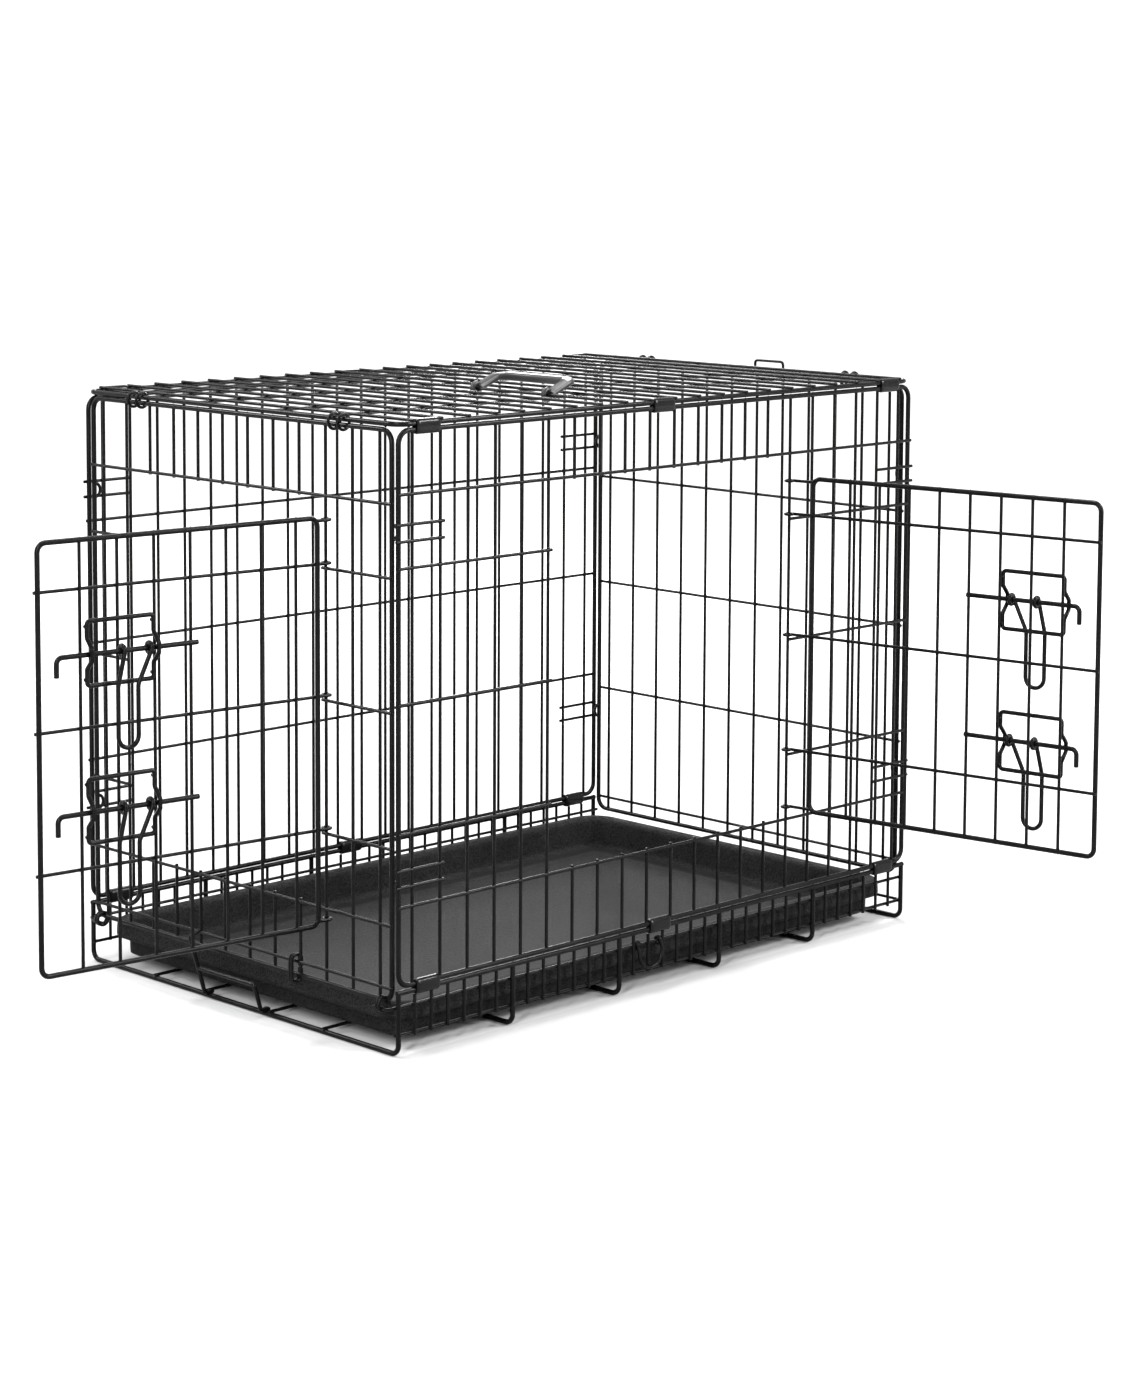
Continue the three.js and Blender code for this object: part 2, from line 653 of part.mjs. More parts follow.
function hangDoor(name, position, turn, pitch, bays, firstBay, inset, span, rows, boltReach) {
  const holder = new THREE.Group();
  holder.position.set(...position);
  holder.rotation.z = turn;
  crate.add(holder);
  const middle = (bays - latchInset) * pitch;
  const tip = middle + guideWidth / 2 + boltReach;
  place(name, door(pitch, bays, firstBay, inset, span, rows), wirePaint, [0, 0, 0], [0, 0, 0], holder);
  for (const [level, share] of Object.entries(latchPlaces)) {
    const label = `${name}_${level}`;
    const z = latchHeight(share);
    const still = [[0, 0, 0], [0, 0, 0], holder];
    place(`${label}_guide`, latchGuide(middle, z), wirePaint, ...still);
    place(`${label}_bolt`, latchBolt(middle, z, tip), wirePaint, ...still);
    place(`${label}_loop`, latchLoop(middle, z), wirePaint, ...still);
  }
}

const frontTurn = Math.PI / 2 + rad(frontDoorOpen);
const sideTurn = Math.PI + rad(sideDoorOpen);
hangDoor('front_door', [-uprightOut, frontHingeY, 0], frontTurn, endPitch, frontDoorBays, 1,
  frontDoorInset, frontDoorZ, endRows, frontBoltReach);
hangDoor('side_door', [sideHingeX, -halfWidth - uprightOut, 0], sideTurn, sidePitch, sideDoorBays, 2,
  sideDoorInset, sideDoorZ, sideRows, sideBoltReach);

place('tray', tray(), plasticPaint);
place('tray_stop', trayStop(), wirePaint, [0, 0, floorWireZ], [0, -rad(stopLean), 0]);
place('carry_handle', carryHandle(), plasticPaint, [sideUpright(handleBay), handleY, crateHeight + crossOut]);
place('front_panel_link', frontLink(), wirePaint, [0, linkY, endRail], [0, 0, Math.PI / 2]);

const seams = { bottom: (baseTop + sideBottom) / 2, top: (panelTop + crateHeight) / 2 };
const sides = { near: -halfWidth, far: halfWidth };
const spots = ['front', 'middle', 'rear'];
for (const [seam, z] of Object.entries(seams)) {
  for (const [side, y] of Object.entries(sides)) {
    sleeveBays.forEach((bay, i) => {
      const x = (sideUpright(bay) + sideUpright(bay + 1)) / 2;
      place(`hinge_sleeve_${seam}_${side}_${spots[i]}`, sleeve(), plasticPaint, [x, y, z]);
    });
  }
}

const ringY = endWidth / 2 - (endUpright(1) + endUpright(2)) / 2;
for (const [end, x] of Object.entries({ front: 0, rear: crateLength })) {
  for (const [side, sign] of Object.entries({ near: -1, far: 1 })) {
    for (const [spot, shift] of Object.entries({ outer: ringPitch / 2, inner: -ringPitch / 2 })) {
      const y = sign * (ringY + shift);
      const solid = ring(v3(0, 0, 0), v3(0, 1, 0), ringRadius, ringWire, 10);
      place(`hinge_ring_${end}_${side}_${spot}`, solid, wirePaint, [x, y, seams.top]);
    }
  }
}

export default crate;
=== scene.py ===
import json
import math

import bpy
from mathutils import Matrix, Vector


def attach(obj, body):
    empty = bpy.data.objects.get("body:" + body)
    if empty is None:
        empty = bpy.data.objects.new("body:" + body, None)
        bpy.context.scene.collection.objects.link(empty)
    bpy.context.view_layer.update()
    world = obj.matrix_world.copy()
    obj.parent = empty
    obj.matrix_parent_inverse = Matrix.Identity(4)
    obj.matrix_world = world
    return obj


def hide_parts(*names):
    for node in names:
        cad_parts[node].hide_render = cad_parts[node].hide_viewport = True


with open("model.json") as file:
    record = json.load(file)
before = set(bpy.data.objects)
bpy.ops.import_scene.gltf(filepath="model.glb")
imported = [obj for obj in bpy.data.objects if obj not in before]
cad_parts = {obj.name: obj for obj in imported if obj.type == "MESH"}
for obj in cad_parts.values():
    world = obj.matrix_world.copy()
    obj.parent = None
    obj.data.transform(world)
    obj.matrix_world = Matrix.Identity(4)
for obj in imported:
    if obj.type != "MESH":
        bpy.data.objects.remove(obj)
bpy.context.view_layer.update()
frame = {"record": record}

# A folding wire crate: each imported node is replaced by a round-wire or moulded piece in the same
# place, on the same body. Sizes are in millimetres, as in the CAD source, up to Solid.make().

# ---- Crate sizes ----

MM = 0.001
LENGTH, WIDTH, HEIGHT = 710.0, 455.0, 570.0  # between wire centres, and from the floor to the top
HALF = WIDTH / 2
FRAME_R, MESH_R, LATCH_R, BOLT_R, RING_R = 2.0, 1.3, 1.5, 1.8, 1.1
# Drawn radii. The coated wires look thicker than the CAD's, which have the steel's own sizes.
FRAME_LOOK, MESH_LOOK, LATCH_LOOK, BOLT_LOOK, RING_LOOK = 2.45, 1.6, 2.1, 2.35, 1.5
SINK = 0.3  # how far two welded wires press into each other
CROSS_OUT = FRAME_R + MESH_R - SINK  # cross wires lie this far outside the frame wires
RUN_GAP = 0.4  # clearance of a wire that turns or slides in an eye
FIT_GAP = 0.3  # gap between separate pieces that touch
PASS_GAP = 0.1  # gap where a cross wire passes an upright
FRAME_STEP = 5.5  # between the centres of two frame wires that lie side by side
END_PLAY = 3.0  # extra gap at the ends' posts
PANEL_TOP = HEIGHT - FRAME_STEP
BASE_TOP, BASE_MID, BASE_LOW = 59.0, 45.0, 20.0
SIDE_BOTTOM = BASE_TOP + FRAME_STEP
SIDE_BAYS, SIDE_INSET = 20, 16.5
END_BAYS, END_INSET = 11, 16.0
SIDE_PITCH = (LENGTH - 2 * SIDE_INSET) / SIDE_BAYS
END_WIDTH = WIDTH - 2 * (FRAME_STEP + END_PLAY)
END_PITCH = (END_WIDTH - 2 * END_INSET) / END_BAYS
SIDE_ROWS, END_ROWS = (203, 320, 442), (189, 312, 433)
SIDE_HEADER, SIDE_SILL, FRONT_HEADER, FRONT_SILL = 508, 137, 499, 119
END_RAIL, END_LEDGE = 49, 62
CORNER_BEND, TIP = 12.0, 2.5  # bend of a grille's corners, and how far a wire's end stands past a weld
CATCH_BEND = 7.0  # radius of the corner hooks between the catch wires
SIDE_HINGE_BAY, SIDE_DOOR_BAYS = 15, 10
FRONT_HINGE_BAY, FRONT_DOOR_BAYS = 2, 8
WALL_BAYS, FEET = 35, 6
FLOOR_RAILS = (49, 126)
CATCH_ROWS = (155, 170, 466, 481)
SLEEVE_BAYS, SLEEVE_LENGTH = (0, 9, 19), 28.0

# The CAD's wires have square sections of the same area, which reach further out than round ones. Its
# hinge lines and eyes are kept, so they are worked out from the square sections' corner radii.
SQUARE = math.sqrt(math.pi / 2)
CAD_FRAME_R, CAD_MESH_R, CAD_LATCH_R = FRAME_R * SQUARE, MESH_R * SQUARE, LATCH_R * SQUARE
CAD_BOLT_R, CAD_RING_R = BOLT_R * SQUARE, RING_R * SQUARE
CAD_UPRIGHT_OUT = CROSS_OUT - 2 * CAD_MESH_R - PASS_GAP
EYE = 2 * CAD_MESH_R + RUN_GAP  # door eyes round the hinge wires
LOOP_EYE = CAD_BOLT_R + RUN_GAP + CAD_LATCH_R  # latch loops' eyes round the bolts
DOOR_FRAME_OUT = EYE + CROSS_OUT
CAD_DOOR_UPRIGHT = EYE + 2 * CAD_MESH_R + PASS_GAP
GUIDE_OUT = CAD_DOOR_UPRIGHT + CAD_MESH_R + FIT_GAP + CAD_LATCH_R
BOLT_OUT = GUIDE_OUT + LOOP_EYE

# Round uprights and cross wires touch, so they lie closer together than the CAD's.
UPRIGHT_OUT = -0.1
GRILLE_CROSS_OUT = UPRIGHT_OUT + 2 * MESH_R - SINK
GRILLE_WELD_OUT = (UPRIGHT_OUT + GRILLE_CROSS_OUT) / 2
DOOR_UPRIGHT_OUT = EYE + 2 * MESH_R - SINK


def side_upright(bay):
    return SIDE_INSET + bay * SIDE_PITCH


def end_upright(bay):
    return END_INSET + bay * END_PITCH


def sleeve_x(bay):
    return (side_upright(bay) + side_upright(bay + 1)) / 2


SIDE_SEAM = side_upright(SIDE_BAYS / 2 + 0.5)  # where a long frame wire's ends meet


def V(x, y, z):
    return Vector((x, y, z))


# ---- Materials ----

def principled(name):
    material = bpy.data.materials.new(name)
    material.use_nodes = True
    tree = material.node_tree
    return material, tree, tree.nodes["Principled BSDF"]


def noise_node(tree, coords, scale, detail, rough=0.5):
    node = tree.nodes.new("ShaderNodeTexNoise")
    node.inputs["Scale"].default_value = scale
    node.inputs["Detail"].default_value = detail
    node.inputs["Roughness"].default_value = rough
    tree.links.new(coords, node.inputs["Vector"])
    return node.outputs["Fac"]


def ramp(tree, value, low, high, colours):
    node = tree.nodes.new("ShaderNodeValToRGB")
    node.color_ramp.elements[0].position = low
    node.color_ramp.elements[1].position = high
    for element, colour in zip(node.color_ramp.elements, colours):
        element.color = (*colour, 1)
    tree.links.new(value, node.inputs["Fac"])
    return node.outputs["Color"]


def spread(tree, value, low, high):
    node = tree.nodes.new("ShaderNodeMapRange")
    node.inputs["To Min"].default_value = low
    node.inputs["To Max"].default_value = high
    tree.links.new(value, node.inputs["Value"])
    return node.outputs["Result"]


def bump(tree, height, shader, strength, distance, under=None):
    node = tree.nodes.new("ShaderNodeBump")
    node.inputs["Strength"].default_value = strength
    node.inputs["Distance"].default_value = distance
    tree.links.new(height, node.inputs["Height"])
    if under is not None:
        tree.links.new(under, node.inputs["Normal"])
    tree.links.new(node.outputs["Normal"], shader.inputs["Normal"])
    return node.outputs["Normal"]


def coated_steel():
    """Black powder coat: fine orange peel, a little colour drift and uneven sheen."""
    material, tree, shader = principled("black_powder_coat")
    at = tree.nodes.new("ShaderNodeTexCoord").outputs["Object"]
    drift = noise_node(tree, at, 38, 4)
    peel = noise_node(tree, at, 1500, 3, 0.6)
    grit = noise_node(tree, at, 4200, 2, 0.7)
    colour = ramp(tree, drift, 0.3, 0.72, [(0.0015, 0.0015, 0.0016), (0.0045, 0.0044, 0.0042)])
    tree.links.new(colour, shader.inputs["Base Color"])
    tree.links.new(spread(tree, peel, 0.17, 0.33), shader.inputs["Roughness"])
    under = bump(tree, grit, shader, 0.25, 0.00006)
    bump(tree, peel, shader, 0.45, 0.00015, under)
    shader.inputs["IOR"].default_value = 1.17
    return material


def pebbled_plastic():
    """Moulded tray plastic: pebble grain over a soft sheen, with faint dust in the hollows."""
    material, tree, shader = principled("tray_plastic")
    at = tree.nodes.new("ShaderNodeTexCoord").outputs["Object"]
    cells = tree.nodes.new("ShaderNodeTexVoronoi")
    cells.feature = "SMOOTH_F1"
    cells.inputs["Scale"].default_value = 620
    tree.links.new(at, cells.inputs["Vector"])
    fine = noise_node(tree, at, 2600, 3, 0.6)
    drift = noise_node(tree, at, 9, 4)
    base = ramp(tree, drift, 0.3, 0.75, [(0.013, 0.013, 0.0133), (0.021, 0.0206, 0.0202)])
    speck = ramp(tree, cells.outputs["Distance"], 0.15, 0.62, [(1, 1, 1), (0.35, 0.35, 0.35)])
    mixed = tree.nodes.new("ShaderNodeMix")
    mixed.data_type, mixed.blend_type = "RGBA", "MULTIPLY"
    mixed.inputs[0].default_value = 1.0
    tree.links.new(base, mixed.inputs[6])
    tree.links.new(speck, mixed.inputs[7])
    tree.links.new(mixed.outputs[2], shader.inputs["Base Color"])
    tree.links.new(spread(tree, fine, 0.5, 0.7), shader.inputs["Roughness"])
    under = bump(tree, fine, shader, 0.3, 0.0001)
    bump(tree, cells.outputs["Distance"], shader, 0.85, 0.0009, under)
    shader.inputs["IOR"].default_value = 1.11
    return material


def satin_plastic(name, rough, grain, dark, ior):
    material, tree, shader = principled(name)
    at = tree.nodes.new("ShaderNodeTexCoord").outputs["Object"]
    fine = noise_node(tree, at, grain, 4, 0.6)
    drift = noise_node(tree, at, 30, 3)
    light = dark * 1.9
    colour = ramp(tree, drift, 0.3, 0.75, [(dark, dark, dark * 1.04), (light, light, light)])
    tree.links.new(colour, shader.inputs["Base Color"])
    tree.links.new(spread(tree, fine, rough - 0.07, rough + 0.08), shader.inputs["Roughness"])
    bump(tree, fine, shader, 0.3, 0.00008)
    shader.inputs["IOR"].default_value = ior
    return material


STEEL = coated_steel()
TRAY = pebbled_plastic()
GRIP = satin_plastic("handle_plastic", 0.34, 2400, 0.008, 1.34)
VINYL = satin_plastic("sleeve_plastic", 0.17, 900, 0.003, 1.2)

# ---- Wire meshes ----

X, Y, Z = V(1, 0, 0), V(0, 1, 0), V(0, 0, 1)
END_BEVEL, END_WIDTH_SHARE = 0.14, 0.72  # length and narrow end of an open end's bevel, in wire radii
SHARP_ANGLE = 50  # degrees between faces above which an edge stays sharp
FRAME_SIDES = 14  # sides of the thicker wires
BEAD_SINK = 0.2  # how deep the bead sits where a cross wire meets a frame wire


def line(*points):
    return [V(*point) for point in points]


def half_turn(steps):
    """Angles from 0 to 180 degrees."""
    return [math.pi * k / steps for k in range(steps + 1)]


def rounded(corners, radius, steps=6):
    """The route with each inner corner replaced by an arc."""
    points = [corners[0].copy()]
    for i in range(1, len(corners) - 1):
        into = (corners[i] - corners[i - 1]).normalized()
        out_of = (corners[i + 1] - corners[i]).normalized()
        turn = into.angle(out_of)
        if turn < 1e-3:
            points.append(corners[i].copy())
            continue
        start = corners[i] - into * (radius * math.tan(turn / 2))
        side = (out_of - into * into.dot(out_of)).normalized()
        for k in range(steps + 1):
            a = turn * k / steps
            points.append(start + into * (radius * math.sin(a)) + side * (radius * (1 - math.cos(a))))
    points.append(corners[-1].copy())
    return points


class Solid:
    """Gathers wires and beads of one piece, in millimetres, as one mesh."""

    def __init__(self, place=Matrix.Identity(4)):
        self.verts, self.faces, self.place = [], [], place

    def ring(self, centre, side, up, radius, sides):
        first = len(self.verts)
        for k in range(sides):
            a = 2 * math.pi * k / sides
            self.verts.append(centre + side * (radius * math.cos(a)) + up * (radius * math.sin(a)))
        return first

    def join(self, a, b, sides):
        for k in range(sides):
            n = (k + 1) % sides
            self.faces.append((a + k, a + n, b + n, b + k))

    def wire(self, points, radius, sides=12, closed=False):
        """A round wire along points. An open end has a small bevel."""
        count = len(points)
        tangents = []
        for i in range(count):
            before = points[i - 1] if closed or i else points[i]
            after = points[(i + 1) % count] if closed or i < count - 1 else points[i]
            a = (points[i] - before).normalized()
            b = (after - points[i]).normalized()
            tangents.append((a + b).normalized())
        side = tangents[0].orthogonal().normalized()
        rings = []
        for i in range(count):
            t = tangents[i]
            if i:
                side = tangents[i - 1].rotation_difference(t) @ side
            side = (side - t * side.dot(t)).normalized()
            rings.append((points[i], side, t.cross(side), t, radius))
        if not closed:
            start, side, up, t, _ = rings[0]
            rings.insert(0, (start - t * (END_BEVEL * radius), side, up, t, END_WIDTH_SHARE * radius))
            end, side, up, t, _ = rings[-1]
            rings.append((end + t * (END_BEVEL * radius), side, up, t, END_WIDTH_SHARE * radius))
        firsts = [self.ring(centre, side, up, r, sides) for centre, side, up, _, r in rings]
        for a, b in zip(firsts, firsts[1:]):
            self.join(a, b, sides)
        if closed:
            shift = self._closing_turn(rings[-1], rings[0], sides)
            for k in range(sides):
                n = (k + 1) % sides
                self.faces.append((firsts[-1] + k, firsts[-1] + n,
                                   firsts[0] + (n + shift) % sides, firsts[0] + (k + shift) % sides))
        else:
            self.caps(firsts[0], firsts[-1], sides)

    def caps(self, first, last, sides):
        self.faces.append(tuple(first + k for k in reversed(range(sides))))
        self.faces.append(tuple(last + k for k in range(sides)))

    @staticmethod
    def _closing_turn(last, first, sides):
        """How many sides the last ring has turned by when it meets the first."""
        carried = last[3].rotation_difference(first[3]) @ last[1]
        angle = math.atan2(carried.dot(first[2]), carried.dot(first[1]))
        return round(angle / (2 * math.pi / sides)) % sides

    def bead(self, centre, along, across, sizes, rows=4, sides=8):
        """A weld bead: a small squashed ball at a crossing."""
        normal = along.cross(across).normalized()
        firsts = []
        for i in range(1, rows):
            a = math.pi * i / rows
            first = len(self.verts)
            for k in range(sides):
                b = 2 * math.pi * k / sides
                self.verts.append(centre + along * (sizes[0] * math.sin(a) * math.cos(b))
                                  + across * (sizes[1] * math.sin(a) * math.sin(b))
                                  + normal * (sizes[2] * math.cos(a)))
            firsts.append(first)
        for a, b in zip(firsts, firsts[1:]):
            self.join(b, a, sides)
        self.faces.append(tuple(firsts[0] + k for k in range(sides)))
        self.faces.append(tuple(firsts[-1] + k for k in reversed(range(sides))))

    def weld(self, centre, a, b, radius_a, radius_b):
        """The bead where a wire along a crosses a wire along b."""
        self.bead(centre, a, b, (1.5 * radius_b, 1.5 * radius_a, 0.9 * min(radius_a, radius_b)))

    def hoop(self, centre, axis, radius, wire_radius, steps=20, sides=10):
        """A closed ring of wire round an axis."""
        side = Z if axis is not Z else X
        up = axis.cross(side).normalized()
        points = []
        for k in range(steps):
            a = 2 * math.pi * k / steps
            points.append(centre + side * (radius * math.cos(a)) + up * (radius * math.sin(a)))
        self.wire(points, wire_radius, sides, closed=True)

    def make(self, name, material):
        """The gathered mesh as a Blender object, put in its place and scaled to metres."""
        data = bpy.data.meshes.new(name)
        verts = [(self.place @ v) * MM for v in self.verts]
        data.from_pydata(verts, [], self.faces)
        data.materials.append(material)
        data.shade_smooth()
        data.set_sharp_from_angle(angle=math.radians(SHARP_ANGLE))
        piece = bpy.data.objects.new(name, data)
        bpy.context.scene.collection.objects.link(piece)
        return piece


def turned(x, y, z, degrees):
    return Matrix.Translation(V(x, y, z)) @ Matrix.Rotation(math.radians(degrees), 4, "Z")


BODIES = frame["record"]["behaviour"]["bodies"]
BODY_OF = {node: body for body, nodes in BODIES.items() for node in nodes}


def finish_piece(piece, node):
    """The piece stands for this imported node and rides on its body."""
    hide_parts(node)
    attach(piece, BODY_OF[node])


def finish_wire(solid, name, node):
    finish_piece(solid.make(name, STEEL), node)


# ---- Panels, each in its own frame: x along it, y outward, z up ----


def frame_loop(solid, x0, x1, z0, z1, seam, out=0.0, bend=CORNER_BEND):
    route = line((seam, out, z0), (x0, out, z0), (x0, out, z1),
                 (x1, out, z1), (x1, out, z0), (seam, out, z0))
    solid.wire(rounded(route, bend)[:-1], FRAME_LOOK, FRAME_SIDES, closed=True)


def cross(solid, x0, x1, z, out=GRILLE_CROSS_OUT):
    solid.wire(line((x0, out, z), (x1, out, z)), MESH_LOOK)


def upright(solid, x, z0, z1, out=UPRIGHT_OUT):
    solid.wire(line((x, out, z0), (x, out, z1)), MESH_LOOK)


def frame_weld(solid, x, z, out=0.0):
    """Where an upright meets a frame wire along x."""
    solid.weld(V(x, out, z), X, Z, FRAME_R, MESH_R * 0.9)


def draw_uprights(solid, xs, bottom, doorway):
    """Full uprights, or a short one under and over the doorway."""
    for bay, x in enumerate(xs):
        if doorway and doorway["bays"][0] < bay < doorway["bays"][1]:
            upright(solid, x, bottom, doorway["sill"] + TIP)
            upright(solid, x, doorway["header"] - TIP, PANEL_TOP)
        else:
            upright(solid, x, bottom, PANEL_TOP)
        for z in (bottom, PANEL_TOP):
            frame_weld(solid, x, z)


def cross_spans(width, xs, rows, doorway, full_rows):
    """The stretches of each cross wire, by its height. The doorway cuts the rows in two."""
    edges = (-FRAME_R, width + FRAME_R)
    spans = {}
    for z in rows:
        if doorway:
            first, last = doorway["bays"]
            spans[z] = [(edges[0], xs[first] + TIP), (xs[last] - TIP, edges[1])]
        else:
            spans[z] = [edges]
    if doorway:
        full_rows = (*full_rows, doorway["header"], doorway["sill"])
    for z in full_rows:
        spans[z] = [edges]
    return spans


def grille(solid, width, xs, bottom, rows, doorway, full_rows=()):
    """Uprights at xs and cross wires at rows, with a bead at each crossing."""
    draw_uprights(solid, xs, bottom, doorway)
    spans = cross_spans(width, xs, rows, doorway, full_rows)
    for z, parts in spans.items():
        for low, high in parts:
            cross(solid, low, high, z)
    for x in xs:
        for z, parts in spans.items():
            if any(low <= x <= high for low, high in parts):
                solid.weld(V(x, GRILLE_WELD_OUT, z), X, Z, MESH_R, MESH_R)
    post_weld_out = CROSS_OUT - MESH_R - BEAD_SINK
    for z in spans:
        for x in (0, width):
            solid.weld(V(x, post_weld_out, z), X, Z, MESH_R, FRAME_R)


def side_panel(name, place, doorway=None):
    solid = Solid(place)
    xs = [side_upright(bay) for bay in range(SIDE_BAYS + 1)]
    frame_loop(solid, 0, LENGTH, SIDE_BOTTOM, PANEL_TOP, SIDE_SEAM)
    grille(solid, LENGTH, xs, SIDE_BOTTOM, SIDE_ROWS, doorway)
    reach = xs[1] + TIP
    for z in CATCH_ROWS:
        for low, high in ((-FRAME_R - TIP, reach), (LENGTH - reach, LENGTH + FRAME_R + TIP)):
            cross(solid, low, high, z)
        for x in (xs[0], xs[1], LENGTH - xs[0], LENGTH - xs[1]):
            solid.weld(V(x, GRILLE_WELD_OUT, z), X, Z, MESH_R, MESH_R)
    finish_wire(solid, name + "_wires", name)


def end_panel(name, place, doorway=None):
    solid = Solid(place)
    xs = [end_upright(bay) for bay in range(END_BAYS + 1)]
    frame_loop(solid, 0, END_WIDTH, END_RAIL, PANEL_TOP, end_upright(END_BAYS / 2))
    grille(solid, END_WIDTH, xs, END_RAIL, END_ROWS, doorway, full_rows=(END_LEDGE,))
    for x in (0, END_WIDTH):
        for low, high in (CATCH_ROWS[:2], CATCH_ROWS[2:]):
            middle = (low + high) / 2
            hook = [V(x, -CATCH_BEND * math.sin(a), middle - CATCH_BEND * math.cos(a))
                    for a in half_turn(12)]
            solid.wire(hook, MESH_LOOK)
    finish_wire(solid, name + "_wires", name)


# The doorway side is drawn from the rear end, so its bays are counted the other way.
SIDE_FIRST_BAY = SIDE_BAYS - SIDE_HINGE_BAY
SIDE_DOORWAY = {"bays": (SIDE_FIRST_BAY, SIDE_FIRST_BAY + SIDE_DOOR_BAYS),
                "sill": SIDE_SILL, "header": SIDE_HEADER}
FRONT_DOORWAY = {"bays": (FRONT_HINGE_BAY, FRONT_HINGE_BAY + FRONT_DOOR_BAYS),
                 "sill": FRONT_SILL, "header": FRONT_HEADER}
side_panel("side_panel_with_doorway", turned(LENGTH, -HALF, 0, 180), SIDE_DOORWAY)
side_panel("side_panel_plain", turned(0, HALF, 0, 0))
end_panel("front_panel", turned(0, -END_WIDTH / 2, 0, 90), FRONT_DOORWAY)
end_panel("rear_panel", turned(LENGTH, END_WIDTH / 2, 0, -90))


TOP_WIRE_BAYS = (2, 4, END_BAYS - 4, END_BAYS - 2)
STAPLE_ENDS, STAPLE_RISE, STAPLE_BEND = (-55, -15), 9.5, 3.5


def top_panel():
    solid = Solid()
    edge = line((SIDE_SEAM, -HALF, HEIGHT), (0, -HALF, HEIGHT), (0, HALF, HEIGHT),
                (LENGTH, HALF, HEIGHT), (LENGTH, -HALF, HEIGHT), (SIDE_SEAM, -HALF, HEIGHT))
    solid.wire(rounded(edge, CORNER_BEND)[:-1], FRAME_LOOK, FRAME_SIDES, closed=True)
    across = HEIGHT + CROSS_OUT
    along = across - 2 * MESH_R + SINK
    for bay in range(SIDE_BAYS + 1):
        x = side_upright(bay)
        solid.wire(line((x, -HALF - TIP, across), (x, HALF + TIP, across)), MESH_LOOK)
        for y in (-HALF, HALF):
            solid.weld(V(x, y, HEIGHT + FRAME_R - BEAD_SINK), X, Y, FRAME_R, MESH_R)
    for bay in TOP_WIRE_BAYS:
        y = -END_WIDTH / 2 + end_upright(bay)
        solid.wire(line((0, y, along), (LENGTH, y, along)), MESH_LOOK)
        for step in range(SIDE_BAYS + 1):
            solid.weld(V(side_upright(step), y, (across + along) / 2), X, Y, MESH_R, MESH_R)
    start, end = STAPLE_ENDS
    staple_top = HEIGHT + STAPLE_RISE
    staple = line((LENGTH, start, HEIGHT), (LENGTH, start, staple_top),
                  (LENGTH, end, staple_top), (LENGTH, end, HEIGHT))
    solid.wire(rounded(staple, STAPLE_BEND), RING_LOOK)
    finish_wire(solid, "top_panel_wires", "top_panel")


top_panel()

# ---- Base: six feet, a low wall along each side, and floor rails ----

WALL_INSIDE = HALF - CROSS_OUT  # the walls' cross wires lie inside their top wires
WALL_PITCH = LENGTH / WALL_BAYS
FOOT_EVERY = WALL_BAYS // (FEET - 1)  # in wall bays
FLOOR_Z = FRAME_LOOK  # the feet's wires rest on the floor
FOOT_BEND, REAR_BEND = 9, 5
TOP_TIP, LOW_TIP, MID_TIPS = 2, 2, (5, 3)  # how far the wall's wires pass the end feet
SLEEVE_CUT, SLEEVE_ROOM = 4.6, 2.1  # wall uprights are this much shorter below a hinge sleeve
WALL_BEAD_OUT, FOOT_BEAD_OUT, TOP_BEAD_IN, RAIL_BEAD_UP = 1.15, 1.2, 0.5, 1.8


def at_sleeve(x):
    """Whether a wall upright at x would reach into a hinge sleeve."""
    return any(abs(x - sleeve_x(bay)) < SLEEVE_LENGTH / 2 + SLEEVE_ROOM for bay in SLEEVE_BAYS)


def base_wall(solid, side):
    top_y, mid_y = side * HALF, side * WALL_INSIDE
    solid.wire(line((-TOP_TIP, top_y, BASE_TOP), (LENGTH + TOP_TIP, top_y, BASE_TOP)),
               FRAME_LOOK, FRAME_SIDES)
    solid.wire(line((-MID_TIPS[0], mid_y, BASE_MID), (LENGTH + MID_TIPS[1], mid_y, BASE_MID)), MESH_LOOK)
    y = side * (WALL_INSIDE + 2 * MESH_R - SINK)
    for bay in range(1, WALL_BAYS):
        if bay % FOOT_EVERY == 0:
            continue
        x = bay * WALL_PITCH
        top = BASE_TOP - SLEEVE_CUT if at_sleeve(x) else BASE_TOP
        solid.wire(line((x, y, BASE_LOW - TIP), (x, y, top)), MESH_LOOK)
        for z in (BASE_LOW, BASE_MID):
            solid.weld(V(x, side * (WALL_INSIDE + WALL_BEAD_OUT), z), X, Z, MESH_R, MESH_R)
        if top == BASE_TOP:
            frame_weld(solid, x, BASE_TOP, side * (HALF - TOP_BEAD_IN))


def base_foot(solid, x):
    """One wire that goes down a side, across the floor and up the other side."""
    legs = line((x, -HALF, BASE_TOP), (x, -HALF, FLOOR_Z), (x, HALF, FLOOR_Z), (x, HALF, BASE_TOP))
    solid.wire(rounded(legs, FOOT_BEND), FRAME_LOOK, FRAME_SIDES)
    for side in (-1, 1):
        solid.weld(V(x, side * HALF, BASE_TOP), X, Z, FRAME_R, FRAME_R)
        for z in (BASE_LOW, BASE_MID):
            solid.weld(V(x, side * (WALL_INSIDE + FOOT_BEAD_OUT), z), X, Z, MESH_R, FRAME_R)
    for d in FLOOR_RAILS:
        for y in (-d, d):
            solid.weld(V(x, y, FLOOR_Z + RAIL_BEAD_UP), X, Y, MESH_R * 1.5, FRAME_R * 1.25)


